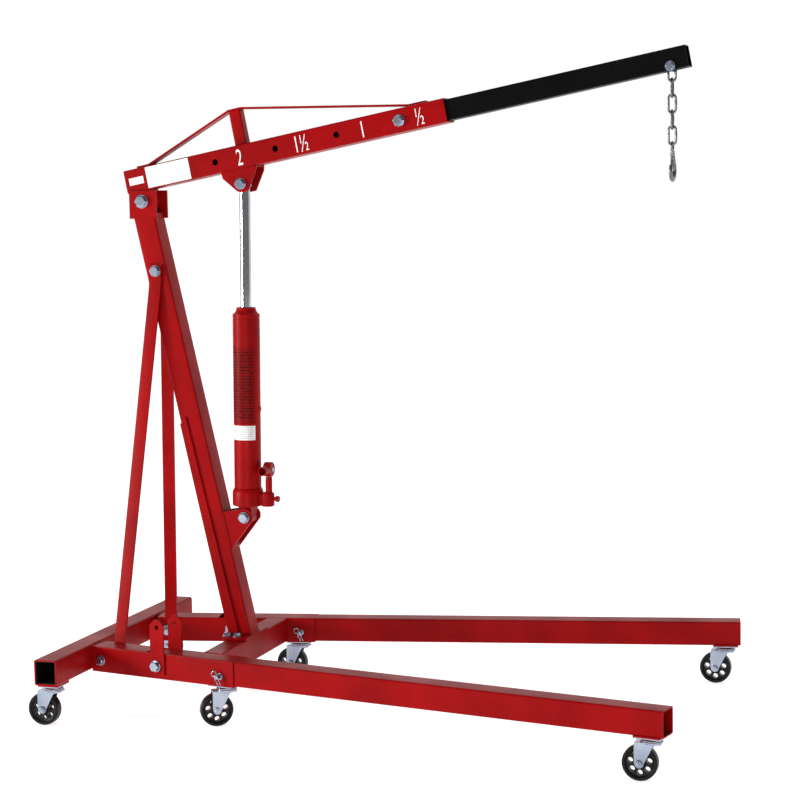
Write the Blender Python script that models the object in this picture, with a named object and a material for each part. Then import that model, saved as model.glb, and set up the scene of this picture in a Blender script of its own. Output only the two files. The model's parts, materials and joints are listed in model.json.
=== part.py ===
"""Folding engine hoist (shop crane) with a hydraulic ram, six casters, a chain and a hook.

Metres, +Z up. The hoist stands on z = 0 and its boom points along +X; the -Y side is its near side.
Layout distances along X are measured from the rear face of the rear beam, and spot() turns them
into the model's frame, whose origin is under the middle of the whole hoist.
"""
import math

import bmesh
import bpy
from mathutils import Matrix, Vector

# Fits
GAP = 0.0003                    # between two pieces that touch
PAST = 0.010                    # how far a cutting shape runs past what it cuts
THROUGH = 0.050                 # from the middle to outside any bolted joint
BOLT_GAP = 0.0005               # round a bolt in its hole
SLIP = 0.0005                   # side play of a leg in its sleeve

# Rear beam
BEAM_DEPTH = 0.066
BEAM_HEIGHT = 0.070
BEAM_TOP = 0.187
BEAM_LENGTH = 0.890
BEAM_WALL = 0.004

# Splayed sleeves that carry the folding legs
SPLAY = math.radians(11.0)
SLEEVE_OUTER_Y = 0.234          # outer face at the beam
SLEEVE_WIDTH = 0.070
SLEEVE_HEIGHT = 0.0712
SLEEVE_TOP = 0.1825
SLEEVE_WALL = 0.0026
SLEEVE_LENGTH = 0.466
SLEEVE_BOX_LENGTH = 0.181       # closed part behind the open channel

# Folding legs
LEG_WALL = 0.0035
LEG_REACH = 1.688               # front end, from the beam along the sleeve
LEG_PIVOT_REACH = 0.219
LEG_FLOOR_GAP = 0.0004
LEG_TOP_STEP = 0.0005           # the leg's top is this far below the sleeve's

# Fold straps beside the sleeves
STRAP_WIDTH = 0.045
STRAP_THICKNESS = 0.005
STRAP_REACH = 0.224
INNER_STRAP_SHIFT = 0.006       # the inner strap stands a little further forward
STRAP_BOTTOM = 0.125
STRAP_TOP = 0.275
STRAP_HOLE_Z = 0.254
LOCK_PIN_REACH = 0.425
LOCK_PIN_Z = 0.140

# Cross beam and base plate
CROSS_X = 0.398
CROSS_DEPTH = 0.060
CROSS_WALL = 0.003
PLATE_X = 0.387
PLATE_DEPTH = 0.075
PLATE_WIDTH = 0.160
PLATE_THICKNESS = 0.0075

# Mast
MAST_FOOT_X = 0.424
MAST_LEAN = math.radians(12.4)
MAST_DEPTH = 0.064
MAST_WIDTH = 0.066
MAST_WALL = 0.004
MAST_TOP = 1.365
STIFFENER_THICKNESS = 0.0055
STIFFENER_TOP = 0.800
STIFFENER_TOP_WIDTH = 0.022
STIFFENER_FOOT_WIDTH = 0.032

# Head bracket and boom pivot
HEAD_PLATE = 0.006
HEAD_REAR_X = 0.128
HEAD_FRONT_X = 0.209
HEAD_BOTTOM = 1.349
HEAD_TOP = 1.426
HEAD_WEB_TOP = 1.384
PIVOT_X = 0.166
PIVOT_Z = 1.3966

# Braces
BRACE_WIDTH = 0.0355
BRACE_THICKNESS = 0.006
BRACE_BOLT_Z = 1.2045
BRACE_BEND_Z = 1.155
BRACE_FOOT_BEND_Z = 0.192
BRACE_FOOT_Z = 0.120
BRACE_FOOT_REACH = 0.030
BRACE_FOOT_SHIFT = 0.005        # the bar is a little in front of its foot bolt
BRACE_FOOT_LEAN = 0.008
BRACE_LOW_BOLT_Z = 0.145

# Boom, in its own frame: reach along it and rise above the pivot
BOOM_ANGLE = math.radians(10.7)
BOOM_HEIGHT = 0.064
BOOM_WIDTH = 0.066
BOOM_WALL = 0.003
BOOM_BOTTOM = 0.029
BOOM_REAR = -0.040
BOOM_FRONT = 0.907
BOOM_LUG_RADIUS = 0.024
BOOM_HOLE_FIRST = 0.236
BOOM_HOLE_STEP = 0.180
BOOM_HOLES = 4
BOOM_HOLE_RADIUS = 0.009

# Telescopic extension
EXTENSION_HEIGHT = 0.056
EXTENSION_WIDTH = 0.052
EXTENSION_WALL = 0.003
EXTENSION_REAR = 0.550
EXTENSION_TIP = 1.558
HOOK_BOLT_REACH = 1.5115
HOOK_BOLT_RISE = 0.044
CHAIN_SLOT_LENGTH = 0.048
CHAIN_SLOT_WIDTH = 0.018

# King post and tie bar over the boom
POST_SIZE = 0.034
POST_REACH = 0.313
POST_HEIGHT = 0.0945
POST_WALL = 0.003
TIE_WIDTH = 0.030
TIE_THICKNESS = 0.006
TIE_REAR = -0.006
TIE_REAR_BEND = 0.030
TIE_TOP_FLAT = 0.036
TIE_FRONT_BEND = 0.804
TIE_FRONT = 0.852

# Hydraulic ram, measured along its axis from the lower pin
RAM_PIN_X = 0.4445
RAM_PIN_Z = 0.520
RAM_TOP_REACH = 0.2957          # upper pin, along the boom
RAM_TOP_RISE = -0.0107          # upper pin, above the boom pivot's line
UPPER_CHEEK_REAR = 0.050
UPPER_CHEEK_FRONT = 0.056
UPPER_CHEEK_EDGE = (
    (-0.048, 0.023), (-0.013, -0.019), (0.0, -0.024), (0.018, -0.024), (0.052, 0.026),
)                               # reach and rise from the ram's upper pin
UPPER_WEB = 0.0035
LOWER_CHEEK_UP = 0.014
LOWER_CHEEK_DOWN = 0.090
RAM_CHEEK = 0.006
RAM_CHEEK_OUTER = 0.0315
RAM_EYE_RADIUS = 0.019
RAM_EYE_HALF = 0.0245
RAM_FOOT_BOTTOM = 0.030
RAM_FOOT_TOP = 0.080
RAM_FOOT_RADIUS = 0.043
CYLINDER_RADIUS = 0.0375
CYLINDER_BORE = 0.030
CYLINDER_FLOOR = 0.008
CYLINDER_SHOULDER = 0.564
CYLINDER_TOP = 0.582
CYLINDER_CAP_RADIUS = 0.0265
ROD_RADIUS = 0.0155
ROD_GAP = 0.0004
PISTON_BOTTOM = 0.240
PISTON_LENGTH = 0.022
LOWER_CHEEK_NOSE = 0.025

# Pump on the ram's foot, in front of the cylinder
PUMP_FRONT = 0.0775
PUMP_HALF = 0.019
PUMP_BOTTOM = 0.031
PUMP_TOP = 0.069
PLUNGER_OFFSET = 0.0625
PLUNGER_RADIUS = 0.0095
PLUNGER_BOTTOM = 0.055
PLUNGER_TOP = 0.1125
KNUCKLE_RADIUS = 0.021
KNUCKLE_HALF = 0.011
SOCKET_RADIUS = 0.0125
SOCKET_BORE = 0.0095
SOCKET_REACH = 0.050
SOCKET_DEPTH = 0.042
VALVE_RISE = 0.052
VALVE_RADIUS = 0.0085
VALVE_LENGTH = 0.015

# Chain and hook
LINK_WIRE = 0.0031              # wire radius
LINK_INNER_LENGTH = 0.0405
LINK_INNER_WIDTH = 0.0126
LINKS = 5
EYE_OUTER = 0.014
EYE_INNER = 0.008
HOOK_DROP = 0.061               # hook curve's centre below the eye's
HOOK_CURVE = 0.0165
HOOK_BODY = 0.0068
HOOK_TIP = 0.0042
LATCH_TURN = (-0.0035, 0.0300)   # latch hinge from the hook curve's centre, along Y and up
LATCH_TIP = (-0.0126, 0.0112)    # latch end from the same centre
LATCH_WIDTH = 0.0064
LATCH_THICKNESS = 0.0032

# Casters
WHEEL_RADIUS = 0.0445
WHEEL_HALF = 0.014
WHEEL_EDGE = 0.004              # chamfer of the tread
WHEEL_HUB = 0.013
WHEEL_HOLES = 7
WHEEL_HOLE_RING = 0.024
WHEEL_HOLE_RADIUS = 0.0074
WHEEL_HOLE_TURN = 0.31          # first hole, as a share of the step between holes
CASTER_TRAIL = 0.028
CASTER_TOP = 0.1092
CASTER_PLATE = 0.070
FORK_INNER = 0.0155
FORK_WALL = 0.0025
CROWN_BOTTOM = 0.0925
CROWN_TOP = 0.0965
AXLE_RADIUS = 0.006
AXLE_HEAD = 0.009
AXLE_HEAD_HEIGHT = 0.006
FORK_TOP = ((0.026, CROWN_TOP), (-0.040, CROWN_TOP), (-0.0405, 0.048))
FORK_NOSE = 0.0115
FORK_FRONT = ((0.003, 0.082), (0.008, 0.0905), (0.026, CROWN_BOTTOM))
RACE_RADIUS = 0.027
RACE_HEIGHT = 0.006
RACE_NECK = 0.022
REAR_CASTER_Y = 0.400
MIDDLE_CASTER_REACH = 0.420
FRONT_CASTER_REACH = 1.646
NEAR_MIDDLE_YAW = math.radians(33.0)

# Bolts: shank radius, hexagon corner radius, washer radius, head height
BOLT_20 = (0.0095, 0.0160, 0.0190, 0.0120)
BOLT_16 = (0.0080, 0.0135, 0.0160, 0.0100)
BOLT_14 = (0.0070, 0.0122, 0.0150, 0.0090)
BOLT_12 = (0.0060, 0.0110, 0.0130, 0.0080)
WASHER = 0.0025

# Worked out from the sizes above
LEG_WIDTH = SLEEVE_WIDTH - 2 * (SLEEVE_WALL + SLIP)
LEG_BOTTOM = SLEEVE_TOP - SLEEVE_HEIGHT + SLEEVE_WALL + LEG_FLOOR_GAP
LEG_HEIGHT = SLEEVE_TOP - LEG_TOP_STEP - LEG_BOTTOM
LEG_MIDDLE_Z = LEG_BOTTOM + LEG_HEIGHT / 2
SLEEVE_BOTTOM = SLEEVE_TOP - SLEEVE_HEIGHT
SLEEVE_MIDDLE = -SLEEVE_WIDTH / 2
REAR_CASTER_X = BEAM_DEPTH / 2
REARMOST = REAR_CASTER_X - CASTER_TRAIL - WHEEL_RADIUS
LEG_INSIDE = SLEEVE_WIDTH / 2 + LEG_WIDTH / 2
FOREMOST = BEAM_DEPTH + LEG_REACH * math.cos(SPLAY) + LEG_INSIDE * math.sin(SPLAY)
X_START = -(REARMOST + FOREMOST) / 2
EXTENSION_MIDDLE = BOOM_BOTTOM + BOOM_HEIGHT / 2
BOOM_TOP = BOOM_BOTTOM + BOOM_HEIGHT
LOCK_REACH = BOOM_HOLE_FIRST + BOOM_HOLE_STEP * (BOOM_HOLES - 1)
PLATE_TOP = SLEEVE_TOP + GAP + PLATE_THICKNESS

X_AXIS = Vector((1, 0, 0))
Y_AXIS = Vector((0, 1, 0))
Z_AXIS = Vector((0, 0, 1))

# Colour, roughness and metallic value of each finish
FINISHES = {
    "red_paint": ((0.36, 0.012, 0.022), 0.38, 0.0),
    "black_paint": ((0.012, 0.012, 0.013), 0.40, 0.0),
    "chrome": ((0.78, 0.78, 0.80), 0.12, 1.0),
    "zinc": ((0.60, 0.61, 0.62), 0.35, 1.0),
    "dark_steel": ((0.20, 0.20, 0.21), 0.45, 1.0),
    "black_plastic": ((0.018, 0.018, 0.020), 0.50, 0.0),
}


def spot(x, y, z):
    """A point from its layout distances."""
    return Vector((X_START + x, y, z))


PIVOT = spot(PIVOT_X, 0, PIVOT_Z)
BOOM_ALONG = Vector((math.cos(BOOM_ANGLE), 0, math.sin(BOOM_ANGLE)))
BOOM_UP = Vector((-math.sin(BOOM_ANGLE), 0, math.cos(BOOM_ANGLE)))


def on_boom(reach, rise, y=0.0):
    """A point in the boom's own frame."""
    return PIVOT + BOOM_ALONG * reach + BOOM_UP * rise + Y_AXIS * y


RAM_PIN = spot(RAM_PIN_X, 0, RAM_PIN_Z)
RAM_TOP = on_boom(RAM_TOP_REACH, RAM_TOP_RISE)
RAM_ALONG = (RAM_TOP - RAM_PIN).normalized()
RAM_FORWARD = Y_AXIS.cross(RAM_ALONG)
RAM_LENGTH = (RAM_TOP - RAM_PIN).length


def on_ram(rise, forward=0.0, y=0.0):
    """A point in the ram's own frame."""
    return RAM_PIN + RAM_ALONG * rise + RAM_FORWARD * forward + Y_AXIS * y


def sleeve_along(side):
    return Vector((math.cos(SPLAY), side * math.sin(SPLAY), 0))


def sleeve_out(side):
    return Vector((-math.sin(SPLAY), side * math.cos(SPLAY), 0))


def on_sleeve(side, reach, out, z):
    """A point from its reach along a sleeve and its distance outside the sleeve's outer face."""
    start = spot(BEAM_DEPTH, side * SLEEVE_OUTER_Y, z)
    return start + sleeve_along(side) * reach + sleeve_out(side) * out


def mast_x(z):
    """Layout distance of the mast's middle line at a height."""
    return MAST_FOOT_X - math.tan(MAST_LEAN) * (z - PLATE_TOP)


def remove_all():
    for item in list(bpy.data.objects):
        bpy.data.objects.remove(item)


def finish_material(name):
    material = bpy.data.materials.get(name)
    if material is None:
        colour, roughness, metallic = FINISHES[name]
        material = bpy.data.materials.new(name)
        material.use_nodes = True
        shader = material.node_tree.nodes["Principled BSDF"]
        shader.inputs["Base Color"].default_value = (*colour, 1.0)
        shader.inputs["Roughness"].default_value = roughness
        shader.inputs["Metallic"].default_value = metallic
    return material


def loft(name, rings, loop=False):
    """A closed body through rings of points; a loop joins its last ring to its first."""
    shape = bmesh.new()
    rows = [[shape.verts.new(point) for point in ring] for ring in rings]
    pairs = list(zip(rows, rows[1:]))
    if loop:
        pairs.append((rows[-1], rows[0]))
    else:
        shape.faces.new(rows[0])
        shape.faces.new(rows[-1])
    for low, high in pairs:
        for index in range(len(low)):
            after = (index + 1) % len(low)
            shape.faces.new((low[index], low[after], high[after], high[index]))
    bmesh.ops.recalc_face_normals(shape, faces=shape.faces)
    mesh = bpy.data.meshes.new(name)
    shape.to_mesh(mesh)
    shape.free()
    item = bpy.data.objects.new(name, mesh)
    bpy.context.collection.objects.link(item)
    return item


def combine(target, tools, operation):
    """Cuts the tools out of the target, or joins them to it, and removes the tools."""
    for tool in tools:
        modifier = target.modifiers.new("combine", "BOOLEAN")
        modifier.operation = operation
        modifier.solver = "EXACT"
        modifier.object = tool
        bpy.context.view_layer.update()
        depsgraph = bpy.context.evaluated_depsgraph_get()
        mesh = bpy.data.meshes.new_from_object(target.evaluated_get(depsgraph))
        target.modifiers.clear()
        target.data = mesh
        bpy.data.objects.remove(tool)
    return target


def cut(target, *tools):
    return combine(target, tools, "DIFFERENCE")


def join(target, *tools):
    return combine(target, tools, "UNION")


def rounded_rectangle(width, height, radius, steps=2):
    """Outline points with round corners, round the origin."""
    points = []
    for quarter in range(4):
        turn = quarter * math.pi / 2
        across = 1 if quarter in (0, 3) else -1
        up = 1 if quarter in (0, 1) else -1
        for step in range(steps + 1):
            angle = turn + step * math.pi / 2 / steps
            points.append((
                across * (width / 2 - radius) + radius * math.cos(angle),
                up * (height / 2 - radius) + radius * math.sin(angle),
            ))
    return points


def square_tube(name, start, end, across, width, height, wall, start_cut=None, end_cut=None):
    """A straight tube open at both ends; a cut is the normal of the plane that trims an end."""
    along = (end - start).normalized()
    across = across.normalized()
    up = along.cross(across)
    outer = rounded_rectangle(width, height, wall * 1.3)
    inner = rounded_rectangle(width - 2 * wall, height - 2 * wall, wall * 0.3)
    rings = []
    for outline, point, normal in (
        (outer, start, start_cut),
        (outer, end, end_cut),
        (inner, end, end_cut),
        (inner, start, start_cut),
    ):
        normal = along if normal is None else normal
        ring = []
        for u, v in outline:
            place = point + across * u + up * v
            ring.append(place + along * (normal.dot(point - place) / normal.dot(along)))
        rings.append(ring)
    return loft(name, rings, loop=True)


def prism(name, outline, depth):
    """A flat outline of 3-D points pushed along the vector depth."""
    return loft(name, [outline, [point + depth for point in outline]])


def block(name, low, high):
    outline = [
        Vector((low[0], low[1], low[2])),
        Vector((high[0], low[1], low[2])),
        Vector((high[0], high[1], low[2])),
        Vector((low[0], high[1], low[2])),
    ]
    return prism(name, outline, Z_AXIS * (high[2] - low[2]))


def side_axes(along):
    """Two unit vectors square to a direction; the first is level where it can be."""
    first = X_AXIS if abs(along.z) > 0.9 else along.cross(Z_AXIS)
    first = (first - along * first.dot(along)).normalized()
    return first, along.cross(first)


def turned(name, start, along, stations, sides=24, loop=False):
    """A turned shape: each station is a distance along the axis and a radius."""
    first, second = side_axes(along)
    rings = []
    for distance, radius in stations:
        ring = []
        for step in range(sides):
            angle = 2 * math.pi * step / sides
            ring.append(
                start + along * distance
                + (first * math.cos(angle) + second * math.sin(angle)) * radius
            )
        rings.append(ring)
    return loft(name, rings, loop)


def cylinder(name, start, end, radius, sides=16):
    length = (end - start).length
    return turned(name, start, (end - start).normalized(), [(0, radius), (length, radius)], sides)


def bolt(name, start, along, grip, size, nut=True):
    """A bolt from the clamped face at start; its hexagons have points halfway along each flat."""
    shank, corner, washer, head = size
    flat = corner * math.cos(math.pi / 6)
    sections = [
        (-WASHER - head, "hexagon", corner),
        (-WASHER, "hexagon", corner),
        (-WASHER, "round", washer),
        (-GAP, "round", washer),
        (-GAP, "round", shank),
        (grip, "round", shank),
    ]
    if nut:
        sections[-1] = (grip + GAP, "round", shank)
        sections += [
            (grip + GAP, "round", washer),
            (grip + WASHER, "round", washer),
            (grip + WASHER, "hexagon", corner),
            (grip + WASHER + head, "hexagon", corner),
        ]
    first, second = side_axes(along)
    rings = []
    for distance, kind, radius in sections:
        ring = []
        for step in range(12):
            angle = math.pi * step / 6
            reach = radius if kind == "round" or step % 2 == 0 else flat
            ring.append(
                start + along * distance
                + (first * math.cos(angle) + second * math.sin(angle)) * reach
            )
        rings.append(ring)
    return loft(name, rings)


def hole(start, along, length, shank):
    """The tool for a bolt's hole."""
    return cylinder("hole", start, start + along * length, shank + BOLT_GAP, 12)


def sweep(name, path, normals, radii, sides=8, loop=False):
    """A round bar along a flat path; normals point across the bar in the path's plane."""
    binormal = (path[1] - path[0]).cross(normals[0]).normalized()
    rings = []
    for point, normal, radius in zip(path, normals, radii):
        rings.append([
            point + (normal * math.cos(2 * math.pi * step / sides)
                     + binormal * math.sin(2 * math.pi * step / sides)) * radius
            for step in range(sides)
        ])
    return loft(name, rings, loop)


def caster_plate(reach_point, along, thickness):
    """Mounting plate under a tube, flush with the caster's top; the point is at its bottom."""
    across = Z_AXIS.cross(along)
    half = CASTER_PLATE / 2
    outline = [
        reach_point + along * (half * u) + across * (half * v)
        for u, v in ((-1, -1), (1, -1), (1, 1), (-1, 1))
    ]
    return prism("plate", outline, Z_AXIS * thickness)


def make_rear_beam():
    middle = BEAM_TOP - BEAM_HEIGHT / 2
    half = BEAM_LENGTH / 2
    beam = square_tube(
        "rear_beam", spot(BEAM_DEPTH / 2, -half, middle), spot(BEAM_DEPTH / 2, half, middle),
        X_AXIS, BEAM_DEPTH, BEAM_HEIGHT, BEAM_WALL,
    )
    for side in (-1, 1):
        place = spot(REAR_CASTER_X, side * REAR_CASTER_Y, CASTER_TOP)
        plate = block(
            "plate",
            (place.x - BEAM_DEPTH / 2 + BEAM_WALL, place.y - CASTER_PLATE / 2, CASTER_TOP),
            (place.x + BEAM_DEPTH / 2 - BEAM_WALL, place.y + CASTER_PLATE / 2,
             BEAM_TOP - BEAM_HEIGHT + BEAM_WALL / 2),
        )
        join(beam, plate)
    return beam


def make_sleeve(name, side):
    middle = (SLEEVE_TOP + SLEEVE_BOTTOM) / 2
    sleeve = square_tube(
        name, on_sleeve(side, GAP / math.cos(SPLAY), SLEEVE_MIDDLE, middle),
        on_sleeve(side, SLEEVE_LENGTH, SLEEVE_MIDDLE, middle),
        sleeve_out(side), SLEEVE_WIDTH, SLEEVE_HEIGHT, SLEEVE_WALL,
    )
    rear = spot(BEAM_DEPTH + GAP, 0, 0).x
    beam_side = block(
        "beam_side", (rear - 0.1, min(side * 0.1, side * 0.3), SLEEVE_BOTTOM - 0.01),
        (rear, max(side * 0.1, side * 0.3), SLEEVE_TOP + 0.01),
    )
    inside = SLEEVE_WIDTH / 2 - SLEEVE_WALL
    channel = prism(
        "channel",
        [on_sleeve(side, reach, SLEEVE_MIDDLE + out * inside, SLEEVE_TOP - SLEEVE_WALL * 1.5)
         for reach, out in (
             (SLEEVE_BOX_LENGTH, -1), (SLEEVE_LENGTH * 1.1, -1),
             (SLEEVE_LENGTH * 1.1, 1), (SLEEVE_BOX_LENGTH, 1))],
        Z_AXIS * 0.02,
    )
    across = -sleeve_out(side)
    wide = SLEEVE_WIDTH + 0.02
    cut(
        sleeve, beam_side, channel,
        hole(on_sleeve(side, LEG_PIVOT_REACH, 0.01, LEG_MIDDLE_Z), across, wide, BOLT_16[0]),
        hole(on_sleeve(side, BRACE_FOOT_REACH, 0.01, BRACE_LOW_BOLT_Z), across, wide, BOLT_14[0]),
        hole(on_sleeve(side, LOCK_PIN_REACH, 0.01, LOCK_PIN_Z), across, wide, BOLT_12[0]),
    )
    plate = caster_plate(
        on_sleeve(side, MIDDLE_CASTER_REACH, SLEEVE_MIDDLE, CASTER_TOP), sleeve_along(side),
        SLEEVE_BOTTOM + SLEEVE_WALL / 2 - CASTER_TOP,
    )
    return join(sleeve, plate)


def make_leg(name, side):
    """The leg's rear end is round about its pivot, so that it turns inside the sleeve."""
    leg = square_tube(
        name, on_sleeve(side, LEG_PIVOT_REACH - LEG_HEIGHT / 2, SLEEVE_MIDDLE, LEG_MIDDLE_Z),
        on_sleeve(side, LEG_REACH, SLEEVE_MIDDLE, LEG_MIDDLE_Z),
        sleeve_out(side), LEG_WIDTH, LEG_HEIGHT, LEG_WALL,
    )
    corners = []
    for up in (-1, 1):
        arc = []
        for step in range(5):
            angle = math.pi / 2 * step / 4
            arc.append((
                LEG_PIVOT_REACH - math.sin(angle) * LEG_HEIGHT / 2,
                LEG_MIDDLE_Z + up * math.cos(angle) * LEG_HEIGHT / 2,
            ))
        far = LEG_PIVOT_REACH - LEG_HEIGHT
        outside = LEG_MIDDLE_Z + up * LEG_HEIGHT
        arc += [(far, LEG_MIDDLE_Z), (far, outside), (LEG_PIVOT_REACH, outside)]
        outline = [on_sleeve(side, reach, 0.01, z) for reach, z in arc]
        corners.append(prism("corner", outline, -sleeve_out(side) * (SLEEVE_WIDTH + 0.02)))
    across = -sleeve_out(side)
    cut(
        leg, *corners,
        hole(on_sleeve(side, LEG_PIVOT_REACH, 0.01, LEG_MIDDLE_Z), across, 0.09, BOLT_16[0]),
        hole(on_sleeve(side, LOCK_PIN_REACH, 0.01, LOCK_PIN_Z), across, 0.09, BOLT_12[0]),
    )
    plate = caster_plate(
        on_sleeve(side, FRONT_CASTER_REACH, SLEEVE_MIDDLE, CASTER_TOP), sleeve_along(side),
        LEG_BOTTOM + LEG_WALL / 2 - CASTER_TOP,
    )
    return join(leg, plate)


def make_strap(name, side, face):
    """A fold strap; face is 0 beside the sleeve's outer face and 1 beside its inner face."""
    inner = GAP if face == 0 else -SLEEVE_WIDTH - GAP - STRAP_THICKNESS
    middle = STRAP_REACH + INNER_STRAP_SHIFT * face
    half = STRAP_WIDTH / 2
    clip = STRAP_WIDTH / 3
    outline = [
        (-half, STRAP_BOTTOM), (half, STRAP_BOTTOM), (half, STRAP_TOP - clip),
        (half - clip, STRAP_TOP), (clip - half, STRAP_TOP), (-half, STRAP_TOP - clip),
    ]
    points = [on_sleeve(side, middle + reach, inner, z) for reach, z in outline]
    strap = prism(name, points, sleeve_out(side) * STRAP_THICKNESS)
    start = inner - 0.01
    return cut(
        strap,
        hole(on_sleeve(side, LEG_PIVOT_REACH, start, LEG_MIDDLE_Z), sleeve_out(side), 0.03, BOLT_16[0]),
        hole(on_sleeve(side, middle, start, STRAP_HOLE_Z), sleeve_out(side), 0.03, BOLT_12[0]),
    )


def make_cross_beam():
    middle_x = CROSS_X + CROSS_DEPTH / 2
    middle_z = (SLEEVE_TOP + SLEEVE_BOTTOM + SLEEVE_WALL) / 2
    height = SLEEVE_HEIGHT - SLEEVE_WALL
    reach = (middle_x - BEAM_DEPTH) / math.cos(SPLAY)
    inner_y = SLEEVE_OUTER_Y + reach * math.sin(SPLAY) - (SLEEVE_WIDTH + GAP) / math.cos(SPLAY)
    return square_tube(
        "cross_beam", spot(middle_x, -inner_y, middle_z), spot(middle_x, inner_y, middle_z),
        X_AXIS, CROSS_DEPTH, height, CROSS_WALL, sleeve_out(-1), sleeve_out(1),
    )


def make_base_plate():
    low = spot(PLATE_X, -PLATE_WIDTH / 2, SLEEVE_TOP + GAP)
    high = spot(PLATE_X + PLATE_DEPTH, PLATE_WIDTH / 2, PLATE_TOP)
    return block("base_plate", low, high)


def make_mast():
    foot_z = PLATE_TOP + GAP
    mast = square_tube(
        "mast", spot(mast_x(foot_z), 0, foot_z), spot(mast_x(MAST_TOP), 0, MAST_TOP),
        Y_AXIS, MAST_WIDTH, MAST_DEPTH, MAST_WALL, Z_AXIS, Z_AXIS,
    )
    start = spot(mast_x(BRACE_BOLT_Z), -MAST_WIDTH, BRACE_BOLT_Z)
    return cut(mast, hole(start, Y_AXIS, MAST_WIDTH * 2, BOLT_16[0]))


def make_stiffener(name, side):
    half = MAST_DEPTH / 2 / math.cos(MAST_LEAN)
    foot_z = PLATE_TOP + GAP
    y = MAST_WIDTH / 2 + GAP if side > 0 else -MAST_WIDTH / 2 - GAP - STIFFENER_THICKNESS
    outline = []
    for z, width in (
        (foot_z, STIFFENER_FOOT_WIDTH), (foot_z, 0),
        (STIFFENER_TOP - STIFFENER_TOP_WIDTH, 0), (STIFFENER_TOP, STIFFENER_TOP_WIDTH),
    ):
        outline.append(spot(mast_x(z) - half + width, y, z))
    return prism(name, outline, Y_AXIS * STIFFENER_THICKNESS)


def make_head_bracket():
    inner = MAST_WIDTH / 2 + BOLT_GAP
    outer = inner + HEAD_PLATE
    low = spot(HEAD_REAR_X, -outer, HEAD_BOTTOM)
    high = spot(HEAD_FRONT_X, outer, HEAD_TOP)
    bracket = block("head_bracket", low, high)
    web_front = spot(HEAD_REAR_X + HEAD_PLATE * 0.75, 0, 0).x
    between = block("between", (web_front, -inner, low.z - 0.01), (high.x + 0.01, inner, high.z + 0.01))
    above = block("above", (low.x - 0.01, -inner, HEAD_WEB_TOP), (high.x + 0.01, inner, high.z + 0.01))
    bore = hole(PIVOT - Y_AXIS * 0.06, Y_AXIS, 0.12, BOLT_20[0])
    return cut(bracket, between, above, bore)


def make_brace(name, side):
    """A flat bar from the mast's side down to the sleeve's inner face, bent twice."""
    half_thick = BRACE_THICKNESS / 2
    face_y = side * (MAST_WIDTH / 2 + BOLT_GAP + half_thick)
    bolt_point = spot(mast_x(BRACE_BOLT_Z), face_y, BRACE_BOLT_Z)
    foot_out = -SLEEVE_WIDTH - BOLT_GAP - half_thick
    foot_reach = BRACE_FOOT_REACH + BRACE_FOOT_SHIFT
    foot = on_sleeve(side, foot_reach, foot_out, BRACE_FOOT_Z)
    foot_bend = on_sleeve(side, foot_reach + BRACE_FOOT_LEAN, foot_out, BRACE_FOOT_BEND_Z)
    lean = (bolt_point.x - foot_bend.x) / (bolt_point.z - foot_bend.z)
    bend = Vector((bolt_point.x + lean * (BRACE_BEND_Z - bolt_point.z), face_y, BRACE_BEND_Z))
    top = bolt_point + Vector((lean, 0, 1)) * (BRACE_WIDTH / 2)
    outward = Vector((0, side, 0))
    stations = (
        (foot, sleeve_out(side)),
        (foot_bend, sleeve_out(side)),
        (bend, outward),
        (top, outward),
    )
    rings = []
    for point, normal in stations:
        across = Z_AXIS.cross(normal).normalized() * (BRACE_WIDTH / 2)
        thick = normal * half_thick
        rings.append([
            point - across - thick, point + across - thick,
            point + across + thick, point - across + thick,
        ])
    brace = loft(name, rings)
    low_hole = on_sleeve(side, BRACE_FOOT_REACH, -SLEEVE_WIDTH + 0.01, BRACE_LOW_BOLT_Z)
    high_hole = bolt_point - outward * 0.02
    return cut(
        brace, hole(low_hole, -sleeve_out(side), 0.03, BOLT_14[0]),
        hole(high_hole, outward, 0.04, BOLT_16[0]),
    )


def make_boom():
    middle = EXTENSION_MIDDLE
    boom = square_tube(
        "boom", on_boom(BOOM_REAR, middle), on_boom(BOOM_FRONT, middle),
        Y_AXIS, BOOM_WIDTH, BOOM_HEIGHT, BOOM_WALL,
    )
    half = BOOM_WIDTH / 2 - GAP
    arc = [
        (BOOM_LUG_RADIUS * math.cos(angle), BOOM_LUG_RADIUS * math.sin(angle))
        for angle in (math.pi + step * math.pi / 10 for step in range(11))
    ]
    seat = BOOM_BOTTOM + BOOM_WALL / 2
    outline = [(-BOOM_LUG_RADIUS, seat)] + arc + [(BOOM_LUG_RADIUS, seat)]
    lug = prism("lug", [on_boom(reach, rise, -half) for reach, rise in outline], Y_AXIS * half * 2)
    join(boom, lug)
    cut(boom, hole(PIVOT - Y_AXIS * THROUGH, Y_AXIS, THROUGH * 2, BOLT_20[0]))
    for index in range(BOOM_HOLES):
        reach = BOOM_HOLE_FIRST + index * BOOM_HOLE_STEP
        start = on_boom(reach, middle, -BOOM_WIDTH)
        cut(boom, cylinder("hole", start, start + Y_AXIS * BOOM_WIDTH * 2, BOOM_HOLE_RADIUS, 10))
    return boom


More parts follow.
